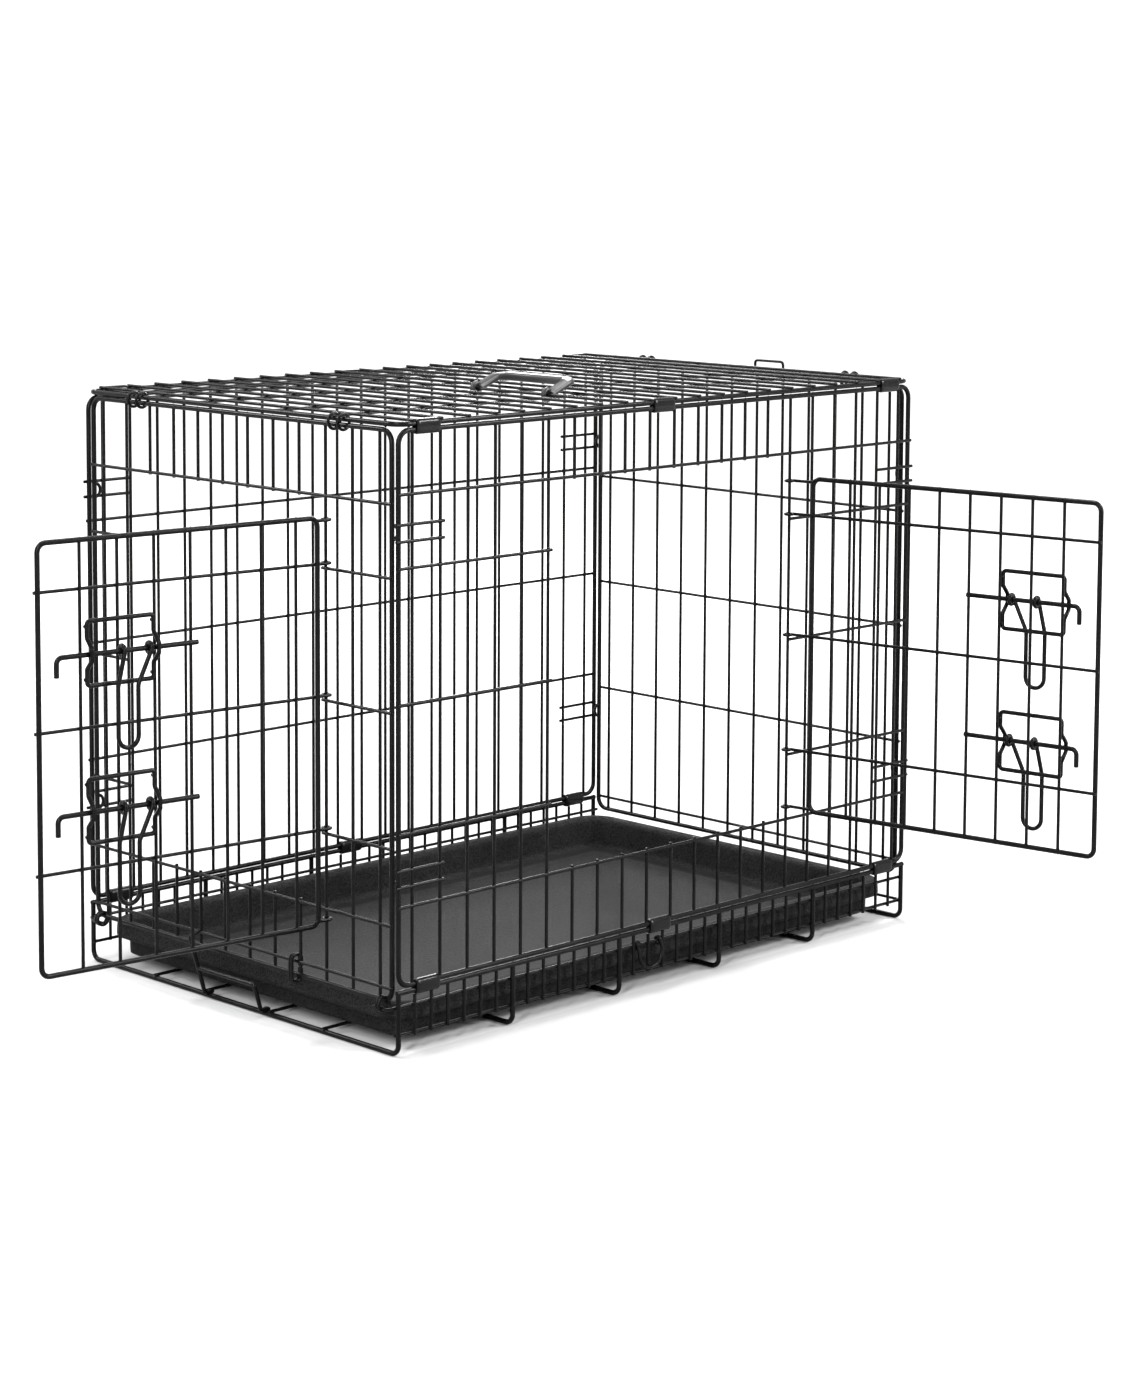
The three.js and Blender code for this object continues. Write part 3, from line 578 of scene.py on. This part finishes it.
def base_panel():
    solid = Solid()
    for side in (-1, 1):
        base_wall(solid, side)
    rear = LENGTH + CROSS_OUT
    low_wire = line((-LOW_TIP, -WALL_INSIDE, BASE_LOW), (rear, -WALL_INSIDE, BASE_LOW),
                    (rear, WALL_INSIDE, BASE_LOW), (-LOW_TIP, WALL_INSIDE, BASE_LOW))
    solid.wire(rounded(low_wire, REAR_BEND), MESH_LOOK)
    for i in range(FEET):
        base_foot(solid, LENGTH * i / (FEET - 1))
    rail_z = FLOOR_Z + CROSS_OUT
    for d in FLOOR_RAILS:
        for y in (-d, d):
            solid.wire(line((-TIP, y, rail_z), (LENGTH + TIP, y, rail_z)), MESH_LOOK)
    finish_wire(solid, "base_panel_wires", "base_panel")


base_panel()


# ---- Small base fittings, which the CAD model has no solid for ----

EYE_STEPS = 24
CLIP_X, CLIP_BOTTOM, CLIP_OUT, CLIP_PLAY = (309.0, 341.0), 22.0, 5.7, 0.2
LUG_X, LUG_IN, LUG_DROP, LUG_BEND = (-4, -6), (2, 18), 1.6, 4
WRAP_X, WRAP_Z, WRAP_IN, WRAP_R = -2.6, 46.6, 8, 6.4


def base_fitting(solid, name):
    """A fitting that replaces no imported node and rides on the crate."""
    piece = solid.make(name, STEEL)
    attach(piece, "crate")


def bow(middle, half, out, bottom, steps):
    """The round lower end of a hanging wire, from left to right."""
    return [V(middle - half * math.cos(a), out, bottom + half - half * math.sin(a))
            for a in half_turn(steps)]


def wall_clip():
    """A bow that hangs on the near base wall's middle wire by curls of its own wire."""
    solid = Solid()
    wall = CROSS_OUT - HALF
    left, right = CLIP_X
    curl = 2 * MESH_LOOK + CLIP_PLAY
    hanging = bow((left + right) / 2, (right - left) / 2, wall - CLIP_OUT, CLIP_BOTTOM, 12)
    solid.wire([V(left, wall - curl, BASE_MID), *hanging, V(right, wall - curl, BASE_MID)], MESH_LOOK)
    for x in (left, left + 2 * MESH_LOOK, right):
        solid.hoop(V(x, wall, BASE_MID), X, curl, MESH_LOOK, EYE_STEPS)
    base_fitting(solid, "base_wall_clip")


def corner_wrap(name, side):
    """Two curls that tie the front end's bottom wire to a lug of the base wall."""
    solid = Solid()
    post = END_WIDTH / 2
    lug_z = BASE_MID - LUG_DROP
    lug = line((LUG_X[0], side * WALL_INSIDE, BASE_MID), (LUG_X[1], side * (post - LUG_IN[0]), lug_z),
               (LUG_X[1], side * (post - LUG_IN[1]), lug_z))
    solid.wire(rounded(lug, LUG_BEND), MESH_LOOK)
    for turn in (0, 1):
        y = side * (post - WRAP_IN - 2 * MESH_LOOK * turn)
        solid.hoop(V(WRAP_X, y, WRAP_Z), Y, WRAP_R, MESH_LOOK, steps=26)
    base_fitting(solid, name)


wall_clip()
corner_wrap("base_corner_wrap_near", -1)
corner_wrap("base_corner_wrap_far", 1)

# ---- Doors and latches, in the door's frame: hinge wire at the origin, x to the free edge ----

DOOR_OVERLAP, DOOR_BEND = 4, 8  # the free edge lies this far past the last upright
ROW_LIFT = 4.5  # the door's rows lie this far above the panel's
POST_BEAD_OUT = EYE + MESH_R - 0.1
GUIDE_W, GUIDE_H, GUIDE_KINK, GUIDE_BEND = 66.0, 56.0, 4.5, 3.2
BRIDGE_BEAD, BRIDGE_IN = (2.0, 2.0, 2.6), 5  # beads that join a guide to its door
BOLT_TAIL, BOLT_HOOK, BOLT_BEND = 75.0, 17.0, 5.5
LOOP_EYES, LOOP_LEGS, LOOP_KNEE, LOOP_DROP, LOOP_BEND = (-26, 1), (-12, 8), 30.0, 84.0, 8
LATCH_Z = {"lower": 245.0, "upper": 382.0}


def hinge_eye(solid, z):
    """A wire end wrapped closely round the hinge wire."""
    solid.hoop(V(0, 0, z), Z, EYE, MESH_LOOK, EYE_STEPS)


def door(name, place, pitch, bays, first, inset, low, high, rows):
    """A door whose frame goes from inset to the returned width, with uprights from bay first on."""
    solid = Solid(place)
    width = bays * pitch + DOOR_OVERLAP
    seam = (bays // 2 + 0.5) * pitch
    frame_loop(solid, inset, width, low, high, seam, DOOR_FRAME_OUT, DOOR_BEND)
    for bay in range(first, bays):
        x = bay * pitch
        upright(solid, x, low, high, DOOR_UPRIGHT_OUT)
        for row in rows:
            solid.weld(V(x, (EYE + DOOR_UPRIGHT_OUT) / 2, row + ROW_LIFT), X, Z, MESH_R, MESH_R)
        for z in (low, high):
            frame_weld(solid, x, z, DOOR_FRAME_OUT - SINK)
    for row in rows:
        z = row + ROW_LIFT
        cross(solid, 0, width + TIP, z, EYE)
        hinge_eye(solid, z)
        for x in (inset, width):
            solid.weld(V(x, POST_BEAD_OUT, z), X, Z, MESH_R, FRAME_R)
    for z in (low + CROSS_OUT, high - CROSS_OUT):
        cross(solid, 0, inset + FRAME_R, z, EYE)
        hinge_eye(solid, z)
        solid.weld(V(inset, POST_BEAD_OUT, z), X, Z, MESH_R, FRAME_R)
    finish_wire(solid, name + "_wires", name)
    return width


def guide(name, place, middle, z):
    """A loop welded to the door, whose sides kink outward to let the bolt through."""
    solid = Solid(place)
    far = BOLT_OUT + LOOP_EYE
    slope = far - GUIDE_OUT
    low, high = z - GUIDE_H / 2, z + GUIDE_H / 2
    left, right = middle - GUIDE_W / 2, middle + GUIDE_W / 2

    def side(x):
        return line((x, GUIDE_OUT, low), (x, GUIDE_OUT, z - GUIDE_KINK - slope), (x, far, z - GUIDE_KINK),
                    (x, far, z + GUIDE_KINK), (x, GUIDE_OUT, z + GUIDE_KINK + slope), (x, GUIDE_OUT, high))

    seam = V(middle, GUIDE_OUT, low)
    route = [seam, *side(right), *reversed(side(left)), seam]
    solid.wire(rounded(route, GUIDE_BEND, 5)[:-1], LATCH_LOOK, closed=True)
    bridge = (DOOR_UPRIGHT_OUT + GUIDE_OUT) / 2
    for x, inset in ((left, BRIDGE_IN), (middle, 0), (right, BRIDGE_IN)):
        for height in (low + inset, high - inset):
            solid.bead(V(x, bridge, height), X, Z, BRIDGE_BEAD)
    finish_wire(solid, name + "_wire", name)


def bolt(name, place, middle, z, tip):
    """A sliding wire from its tail, past the free edge to the tip, bent down at the tip."""
    solid = Solid(place)
    route = line((middle - BOLT_TAIL, BOLT_OUT, z), (tip, BOLT_OUT, z), (tip, BOLT_OUT, z - BOLT_HOOK))
    solid.wire(rounded(route, BOLT_BEND, 10), BOLT_LOOK, 16)
    finish_wire(solid, name + "_wire", name)


def loop(name, place, middle, z):
    """A hanging handle with an eye round the bolt at each end."""
    solid = Solid(place)
    half = (LOOP_LEGS[1] - LOOP_LEGS[0]) / 2
    out = BOLT_OUT + LOOP_EYE
    hanging = bow(middle + LOOP_LEGS[0] + half, half, out, z - LOOP_DROP, 16)
    knees = [V(middle + at, out, z - LOOP_KNEE) for at in LOOP_LEGS]
    ends = [V(middle + at, out, z) for at in LOOP_EYES]
    left = rounded([ends[0], knees[0], hanging[0]], LOOP_BEND)
    right = rounded([hanging[-1], knees[1], ends[1]], LOOP_BEND)
    solid.wire([*left[:-1], *hanging, *right[1:]], LATCH_LOOK)
    for at in LOOP_EYES:
        solid.hoop(V(middle + at, BOLT_OUT, z), X, LOOP_EYE, LATCH_LOOK, EYE_STEPS)
    finish_wire(solid, name + "_wire", name)


def hang_door(name, place, tip_in, pitch, bays, **sizes):
    """A door with two latches, whose bolts' tips end tip_in short of the door's width."""
    width = door(name, place, pitch, bays, **sizes)
    middle = (bays - 2) * pitch
    for level, z in LATCH_Z.items():
        guide(f"{name}_{level}_guide", place, middle, z)
        bolt(f"{name}_{level}_bolt", place, middle, z, width - tip_in)
        loop(f"{name}_{level}_loop", place, middle, z)


FRONT_HINGE_Y = -END_WIDTH / 2 + end_upright(FRONT_HINGE_BAY)
FRONT_OPEN, SIDE_OPEN = 84, 98  # degrees
hang_door("front_door", turned(-CAD_UPRIGHT_OUT, FRONT_HINGE_Y, 0, 90 + FRONT_OPEN),
          tip_in=12.5, pitch=END_PITCH, bays=FRONT_DOOR_BAYS,
          first=1, inset=14, low=106, high=480, rows=END_ROWS)
hang_door("side_door", turned(side_upright(SIDE_HINGE_BAY), -HALF - CAD_UPRIGHT_OUT, 0, 180 + SIDE_OPEN),
          tip_in=25, pitch=SIDE_PITCH, bays=SIDE_DOOR_BAYS,
          first=2, inset=24, low=146, high=483, rows=SIDE_ROWS)

# ---- Tray ----

TRAY_GAP, TRAY_BOTTOM, TRAY_TOP = 6.0, 8.0, 44.0
TRAY_RIM, TRAY_SKIRT, TRAY_CORNER, TRAY_WALL = 13.0, 15.0, 34.0, 2.5
TRAY_ARC, TRAY_LONG, TRAY_SHORT = 10, 118, 74  # steps round a corner and along each side
RIB_DEPTH, RIB_EVERY = 0.7, 6
SMALLEST_CORNER = 2


def tray_outline(inset):
    """Points round the tray at this distance inside its rim, always the same count.

    Each is (x, y, outward x, outward y, step along its straight side, or 0 in a corner).
    """
    half_x = LENGTH / 2 - TRAY_GAP - inset
    half_y = HALF - CROSS_OUT - CAD_MESH_R - TRAY_GAP / 2 - inset
    bend = max(TRAY_CORNER - inset, SMALLEST_CORNER)
    points = []
    corners = [(half_x - bend, -half_y + bend, -90), (half_x - bend, half_y - bend, 0),
               (-half_x + bend, half_y - bend, 90), (-half_x + bend, -half_y + bend, 180)]
    for i, (cx, cy, start) in enumerate(corners):
        for k in range(TRAY_ARC + 1):
            a = math.radians(start + 90 * k / TRAY_ARC)
            points.append((cx + bend * math.cos(a), cy + bend * math.sin(a), math.cos(a), math.sin(a), 0))
        nx, ny, begin = corners[(i + 1) % 4]
        a = math.radians(begin)
        ex, ey = nx + bend * math.cos(a), ny + bend * math.sin(a)
        sx, sy = points[-1][:2]
        runs = TRAY_SHORT if i % 2 == 0 else TRAY_LONG
        for k in range(1, runs):
            t = k / runs
            points.append((sx + (ex - sx) * t, sy + (ey - sy) * t, math.cos(a), math.sin(a), k))
    return points


def tray_curve(inset, z, wide, tall, steep_first):
    """A quarter turn of the profile, steep at its start and level at its end or the other way."""
    entries = []
    for k in range(1, 7):
        a = math.pi / 2 * k / 6
        across, down = (1 - math.cos(a), math.sin(a)) if steep_first else (math.sin(a), math.cos(a) - 1)
        entries.append((inset + wide * across, z + tall * down, 0))
    return entries


def tray():
    solid = Solid(Matrix.Translation(V(LENGTH / 2, 0, 0)))
    top, skirt = TRAY_TOP, TRAY_TOP - TRAY_SKIRT
    floor = TRAY_BOTTOM + TRAY_WALL
    pan = TRAY_RIM + TRAY_WALL
    # (distance in from the rim, height, rib share): the outer skirt, over the rolled rim, down into
    # the pan with ribs on its wall, and across its floor with a low bead.
    upper = [(0.9, skirt - 0.4, 0), (0.0, skirt + 0.6, 0), (0.0, skirt + 3, 0), (0.35, top - 5.2, 0),
             *tray_curve(0.35, top - 5.2, 4.6, 5.2, True),
             (7.0, top, 0), (9.2, top - 0.1, 0),
             *tray_curve(9.2, top - 0.1, 6.6, 5, False),
             (pan + 0.5, top - 9, 1), (pan + 1.0, TRAY_BOTTOM + 12, 1), (pan + 1.6, TRAY_BOTTOM + 8, 0),
             *tray_curve(pan + 1.6, floor + 5.8, 6, -5.8, True),
             (pan + 22, floor, 0), (pan + 25, floor + 1.6, 0),
             (pan + 31, floor + 1.6, 0), (pan + 34, floor, 0)]
    # Back under the floor, up outside the pan and down inside the skirt.
    under = [(pan + 30, TRAY_BOTTOM, 0), (pan + 3, TRAY_BOTTOM, 0), (TRAY_RIM + 0.4, TRAY_BOTTOM + 2.6, 0),
             (TRAY_RIM, TRAY_BOTTOM + 8, -1), (TRAY_RIM - 0.4, top - 11, -1), (TRAY_RIM - 1.6, top - 4.6, 0),
             (9.0, top - TRAY_WALL - 0.3, 0), (6.0, top - TRAY_WALL - 0.3, 0),
             (3.6, top - TRAY_WALL - 2.6, 0), (2.6, top - 6.5, 0), (2.4, skirt + 1, 0), (2.0, skirt - 0.4, 0)]

    def add(entries):
        firsts = []
        for inset, z, rib in entries:
            firsts.append(len(solid.verts))
            for x, y, nx, ny, k in tray_outline(inset):
                push = RIB_DEPTH * rib if rib and k and k % RIB_EVERY in (0, 1) else 0
                solid.verts.append(V(x - nx * push, y - ny * push, z))
        return firsts

    outer, lower = add(upper), add(under)
    count = len(tray_outline(0))
    for rings in (outer, lower):
        for a, b in zip(rings, rings[1:]):
            solid.join(a, b, count)
    solid.join(lower[-1], outer[0], count)
    solid.caps(lower[0], outer[-1], count)
    finish_piece(solid.make("tray_shell", TRAY), "tray")


tray()

# ---- Tray stop, carry handle, link, sleeves and rings ----

STOP_LEAN, STOP_HALF, STOP_BAR, STOP_TALL, STOP_BEND = 17, 42, 33, 67, 3
STOP_HOOK, STOP_RISE = 1.5, 3  # the hook's reach in eye radii, and where a leg leaves its eye


def tray_stop():
    """Two bent wires that turn on the front foot: a bar on two legs, and a taller hooked leg."""
    eye = CAD_FRAME_R + RUN_GAP + CAD_LATCH_R
    hinge = Matrix.Translation(V(0, 0, CAD_FRAME_R * math.cos(math.pi / 4)))
    solid = Solid(hinge @ Matrix.Rotation(-math.radians(STOP_LEAN), 4, "Y"))

    def leg(y, height):
        arc = [V(eye * math.cos(math.radians(a)), y, eye * math.sin(math.radians(a)))
               for a in range(30, 136, 15)]
        return [*arc, V(-eye, y, eye + STOP_RISE), V(-eye, y, height)]

    bar = [*leg(-STOP_HALF, STOP_BAR), V(-eye, STOP_HALF, STOP_BAR)]
    tall = [*leg(STOP_HALF, STOP_TALL), V(eye * STOP_HOOK, STOP_HALF, STOP_TALL)]
    for route in (bar, tall):
        solid.wire(rounded(route, STOP_BEND), LATCH_LOOK)
    solid.weld(V(-eye, STOP_HALF, STOP_BAR), Y, Z, LATCH_R, LATCH_R)
    finish_wire(solid, "tray_stop_wire", "tray_stop")


tray_stop()

HANDLE_Y, HANDLE_END, HANDLE_BEND = -72, 50, 7
STRAP_SIDES, STRAP_POWER = 20, 0.55  # a power below 1 makes the section squarer than an ellipse
STRAP_WIDE, STRAP_TALL = (7.0, -1.2), (3.0, 1.4)  # half sizes at the eyes, and their change at the grip
STRAP_BLEND = 12
HANDLE_EYE, HANDLE_EYE_WIRE, HANDLE_EYE_STEPS = 4.9, 2.7, 28


def strap(solid, rows):
    """A lofted strap: rows of (centre, side, up, half width, half height)."""
    firsts = []
    for centre, side, up, wide, tall in rows:
        firsts.append(len(solid.verts))
        for k in range(STRAP_SIDES):
            a = 2 * math.pi * k / STRAP_SIDES
            c, s = math.cos(a), math.sin(a)
            p = abs(c) ** STRAP_POWER * math.copysign(1, c)
            q = abs(s) ** STRAP_POWER * math.copysign(1, s)
            solid.verts.append(centre + side * (wide * p) + up * (tall * q))
    for a, b in zip(firsts, firsts[1:]):
        solid.join(a, b, STRAP_SIDES)
    solid.caps(firsts[0], firsts[-1], STRAP_SIDES)


def carry_handle():
    """A plastic grip that lies on the top, with an eye round a top wire at each end."""
    solid = Solid(Matrix.Translation(V(side_upright(8), HANDLE_Y, HEIGHT + CROSS_OUT)))
    route = rounded(line((2.5, -HANDLE_END, 0.5), (28, -HANDLE_END, 11), (35, -42, 11),
                         (35, 42, 11), (28, HANDLE_END, 11), (2.5, HANDLE_END, 0.5)), HANDLE_BEND, 8)
    rows = []
    for i, p in enumerate(route):
        before = route[max(i - 1, 0)]
        after = route[min(i + 1, len(route) - 1)]
        t = (after - before).normalized()
        up = (Z - t * t.z).normalized()
        side = up.cross(t).normalized()
        at_grip = max(0.0, min(1.0, (HANDLE_END - abs(p.y)) / STRAP_BLEND))
        rows.append((p, side, up, STRAP_WIDE[0] + STRAP_WIDE[1] * at_grip,
                     STRAP_TALL[0] + STRAP_TALL[1] * at_grip))
    strap(solid, rows)
    angles = [2 * math.pi * k / HANDLE_EYE_STEPS for k in range(HANDLE_EYE_STEPS)]
    for y in (-HANDLE_END, HANDLE_END):
        ring = [V(HANDLE_EYE * math.cos(a), y, HANDLE_EYE * math.sin(a)) for a in angles]
        solid.wire(ring, HANDLE_EYE_WIRE, 16, closed=True)
    finish_piece(solid.make("carry_handle_grip", GRIP), "carry_handle")


carry_handle()

LINK_Y, LINK_BEND, LINK_SPLIT = -87, 4.2, 1
LINK_CORNER = RING_R * 1.25  # about the corner radius of the CAD ring's square section


def front_link():
    """A flat double ring that ties the front end's two bottom wires together."""
    solid = Solid(turned(0, LINK_Y, END_RAIL, 90))
    out = CROSS_OUT / 2
    reach = CAD_FRAME_R + CROSS_OUT / 2 + RUN_GAP + LINK_CORNER
    low, high = -reach, END_LEDGE - END_RAIL + reach
    middle = (low + high) / 2
    route = line((0, out - reach, middle - LINK_SPLIT), (0, out - reach, low), (0, out + reach, low),
                 (0, out + reach, high), (0, out - reach, high), (0, out - reach, middle + LINK_SPLIT))
    for shift in (-RING_LOOK, RING_LOOK):
        solid.wire(rounded([point + V(shift, 0, 0) for point in route], LINK_BEND), RING_LOOK)
    finish_wire(solid, "front_panel_link_wire", "front_panel_link")


front_link()

SLEEVE_STEPS, SLEEVE_SIDES = 14, 28
SLEEVE_BORE, SLEEVE_WALL, SLEEVE_RIB, SLEEVE_EDGE = 2.9, 1.25, 0.25, 0.5


def sleeve_ring(solid, x, radius):
    """A long ring round the two wires at x. The tiny number settles the side of the exact middle."""
    first = len(solid.verts)
    rise = FRAME_STEP / 2
    for k in range(SLEEVE_SIDES):
        a = 2 * math.pi * k / SLEEVE_SIDES
        lift = math.copysign(rise, math.sin(a) + 1e-9)
        solid.verts.append(V(x, radius * math.cos(a), radius * math.sin(a) + lift))
    return first


def sleeve(name, x, y, z):
    """A tight vinyl sleeve round two wires, ribbed a little along its length."""
    solid = Solid(Matrix.Translation(V(x, y, z)))
    outer, inner = [], []
    for i in range(SLEEVE_STEPS + 1):
        along = (i / SLEEVE_STEPS - 0.5) * SLEEVE_LENGTH
        rib = SLEEVE_RIB if i % 2 and 0 < i < SLEEVE_STEPS else 0.0
        edge = SLEEVE_EDGE if i in (0, SLEEVE_STEPS) else 0.0
        outer.append(sleeve_ring(solid, along, SLEEVE_BORE + SLEEVE_WALL - edge + rib))
        inner.append(sleeve_ring(solid, along, SLEEVE_BORE))
    for a, b in zip(outer, outer[1:]):
        solid.join(a, b, SLEEVE_SIDES)
    for a, b in zip(inner, inner[1:]):
        solid.join(b, a, SLEEVE_SIDES)
    for a, b in ((inner[0], outer[0]), (outer[-1], inner[-1])):
        solid.join(a, b, SLEEVE_SIDES)
    finish_piece(solid.make(name + "_tube", VINYL), name)


SEAMS = {"bottom": (BASE_TOP + SIDE_BOTTOM) / 2, "top": (PANEL_TOP + HEIGHT) / 2}
for seam, z in SEAMS.items():
    for side, y in (("near", -HALF), ("far", HALF)):
        for bay, spot in zip(SLEEVE_BAYS, ("front", "middle", "rear")):
            sleeve(f"hinge_sleeve_{seam}_{side}_{spot}", sleeve_x(bay), y, z)

HINGE_RING_R = FRAME_STEP / 2 + CAD_FRAME_R + RUN_GAP + CAD_RING_R
HINGE_RING_Y, RING_APART = END_WIDTH / 2 - (end_upright(1) + end_upright(2)) / 2, 6.5
for end, x in (("front", 0), ("rear", LENGTH)):
    for side, sign in (("near", -1), ("far", 1)):
        for spot, shift in (("outer", RING_APART), ("inner", -RING_APART)):
            name = f"hinge_ring_{end}_{side}_{spot}"
            ring = Solid(Matrix.Translation(V(x, sign * (HINGE_RING_Y + shift), SEAMS["top"])))
            ring.hoop(V(0, 0, 0), Y, HINGE_RING_R, RING_LOOK, steps=28, sides=12)
            finish_wire(ring, name + "_wire", name)

# ---- Stage: a pale floor that curves up all round, soft light, camera ----


FLOOR_R, CURVE_R = 4.0, 4.0  # metres: the flat floor, and the curve up from its edge
FLOOR_SIDES, CURVE_STEPS = 96, 16
DARK_TO, WHITE_FROM = 1.0, 3.6  # metres from the origin where the floor starts and stops whitening
WORLD_LIGHT = 0.97
LIGHT_AIM = (0.35, 0, 0.25)
LIGHTS = {  # place and size in metres, power in watts
    "key": ((-2.3, -1.5, 1.7), (0.3, 1.9), 105),
    "fill": ((1.7, -2.6, 1.5), (0.3, 1.9), 85),
    "rim": ((2.2, 1.9, 1.6), (0.35, 1.8), 45),
    "top": ((0.3, 0.2, 3.0), (2.4, 0.4), 150),
    "over_side": ((2.0, -1.9, 2.3), (0.6, 0.6), 95),
    "over_front": ((-1.3, 2.3, 2.4), (0.6, 0.6), 95),
}


def studio():
    profile = [(FLOOR_R, 0.0)]
    for k in range(1, CURVE_STEPS + 1):
        a = math.pi / 2 * k / CURVE_STEPS
        profile.append((FLOOR_R + CURVE_R * math.sin(a), CURVE_R - CURVE_R * math.cos(a)))
    centre = LENGTH / 2 * MM
    verts = [(centre, 0, 0)]
    faces = []
    for r, z in profile:
        for k in range(FLOOR_SIDES):
            a = 2 * math.pi * k / FLOOR_SIDES
            verts.append((centre + r * math.cos(a), r * math.sin(a), z))
    for k in range(FLOOR_SIDES):
        faces.append((0, 1 + k, 1 + (k + 1) % FLOOR_SIDES))
    for i in range(len(profile) - 1):
        a, b = 1 + i * FLOOR_SIDES, 1 + (i + 1) * FLOOR_SIDES
        for k in range(FLOOR_SIDES):
            n = (k + 1) % FLOOR_SIDES
            faces.append((a + k, b + k, b + n, a + n))
    data = bpy.data.meshes.new("studio_floor")
    data.from_pydata(verts, [], faces)
    data.shade_smooth()
    material, tree, shader = principled("pale_floor")
    at = tree.nodes.new("ShaderNodeTexCoord").outputs["Object"]
    # Greyer below the lamps and whiter further out, so that the lit floor is the same white all over.
    distance = tree.nodes.new("ShaderNodeVectorMath")
    distance.operation = "LENGTH"
    tree.links.new(at, distance.inputs[0])
    outward = tree.nodes.new("ShaderNodeMapRange")
    outward.inputs["From Min"].default_value = DARK_TO
    outward.inputs["From Max"].default_value = WHITE_FROM
    tree.links.new(distance.outputs["Value"], outward.inputs["Value"])
    tone = ramp(tree, outward.outputs["Result"], 0.0, 1.0, [(0.36, 0.36, 0.362), (0.9, 0.9, 0.9)])
    tree.links.new(tone, shader.inputs["Base Color"])
    shader.inputs["Roughness"].default_value = 0.75
    shader.inputs["Specular IOR Level"].default_value = 0.2
    data.materials.append(material)
    floor = bpy.data.objects.new("studio_floor", data)
    bpy.context.scene.collection.objects.link(floor)


def light(name, place, size, watts):
    data = bpy.data.lights.new(name, "AREA")
    data.shape = "RECTANGLE"
    data.size, data.size_y = size
    data.energy = watts
    lamp = bpy.data.objects.new(name, data)
    lamp.location = place
    lamp.rotation_euler = (Vector(LIGHT_AIM) - Vector(place)).to_track_quat("-Z", "Y").to_euler()
    bpy.context.scene.collection.objects.link(lamp)


def lights():
    bpy.context.scene.view_settings.view_transform = "Standard"
    world = bpy.data.worlds.new("studio")
    bpy.context.scene.world = world
    world.use_nodes = True
    background = world.node_tree.nodes["Background"]
    background.inputs["Color"].default_value = (1, 1, 1, 1)
    background.inputs["Strength"].default_value = WORLD_LIGHT
    for name, (place, size, watts) in LIGHTS.items():
        light(name, place, size, watts)


LENS, SENSOR, SHIFT_Y = 80.70086, 36, -0.19197708  # millimetres, millimetres, share of the frame
CAMERA_AT = (-1.8285, -2.2674, 0.8351)
YAW, PITCH, ROLL = 0.787, 0.098, 0.005  # radians


def camera():
    data = bpy.data.cameras.new("camera")
    data.sensor_width = SENSOR
    data.lens = LENS
    data.shift_y = SHIFT_Y
    level = math.cos(PITCH)
    forward = Vector((math.cos(YAW) * level, math.sin(YAW) * level, -math.sin(PITCH)))
    right = Vector((math.sin(YAW), -math.cos(YAW), 0))
    up = right.cross(forward)
    a, b = math.cos(ROLL), math.sin(ROLL)
    right, up = right * a + up * b, up * a - right * b
    turn = Matrix((right, up, -forward)).transposed()
    viewer = bpy.data.objects.new("camera", data)
    viewer.matrix_world = Matrix.Translation(CAMERA_AT) @ turn.to_4x4()
    bpy.context.scene.collection.objects.link(viewer)
    bpy.context.scene.camera = viewer


studio()
lights()
camera()
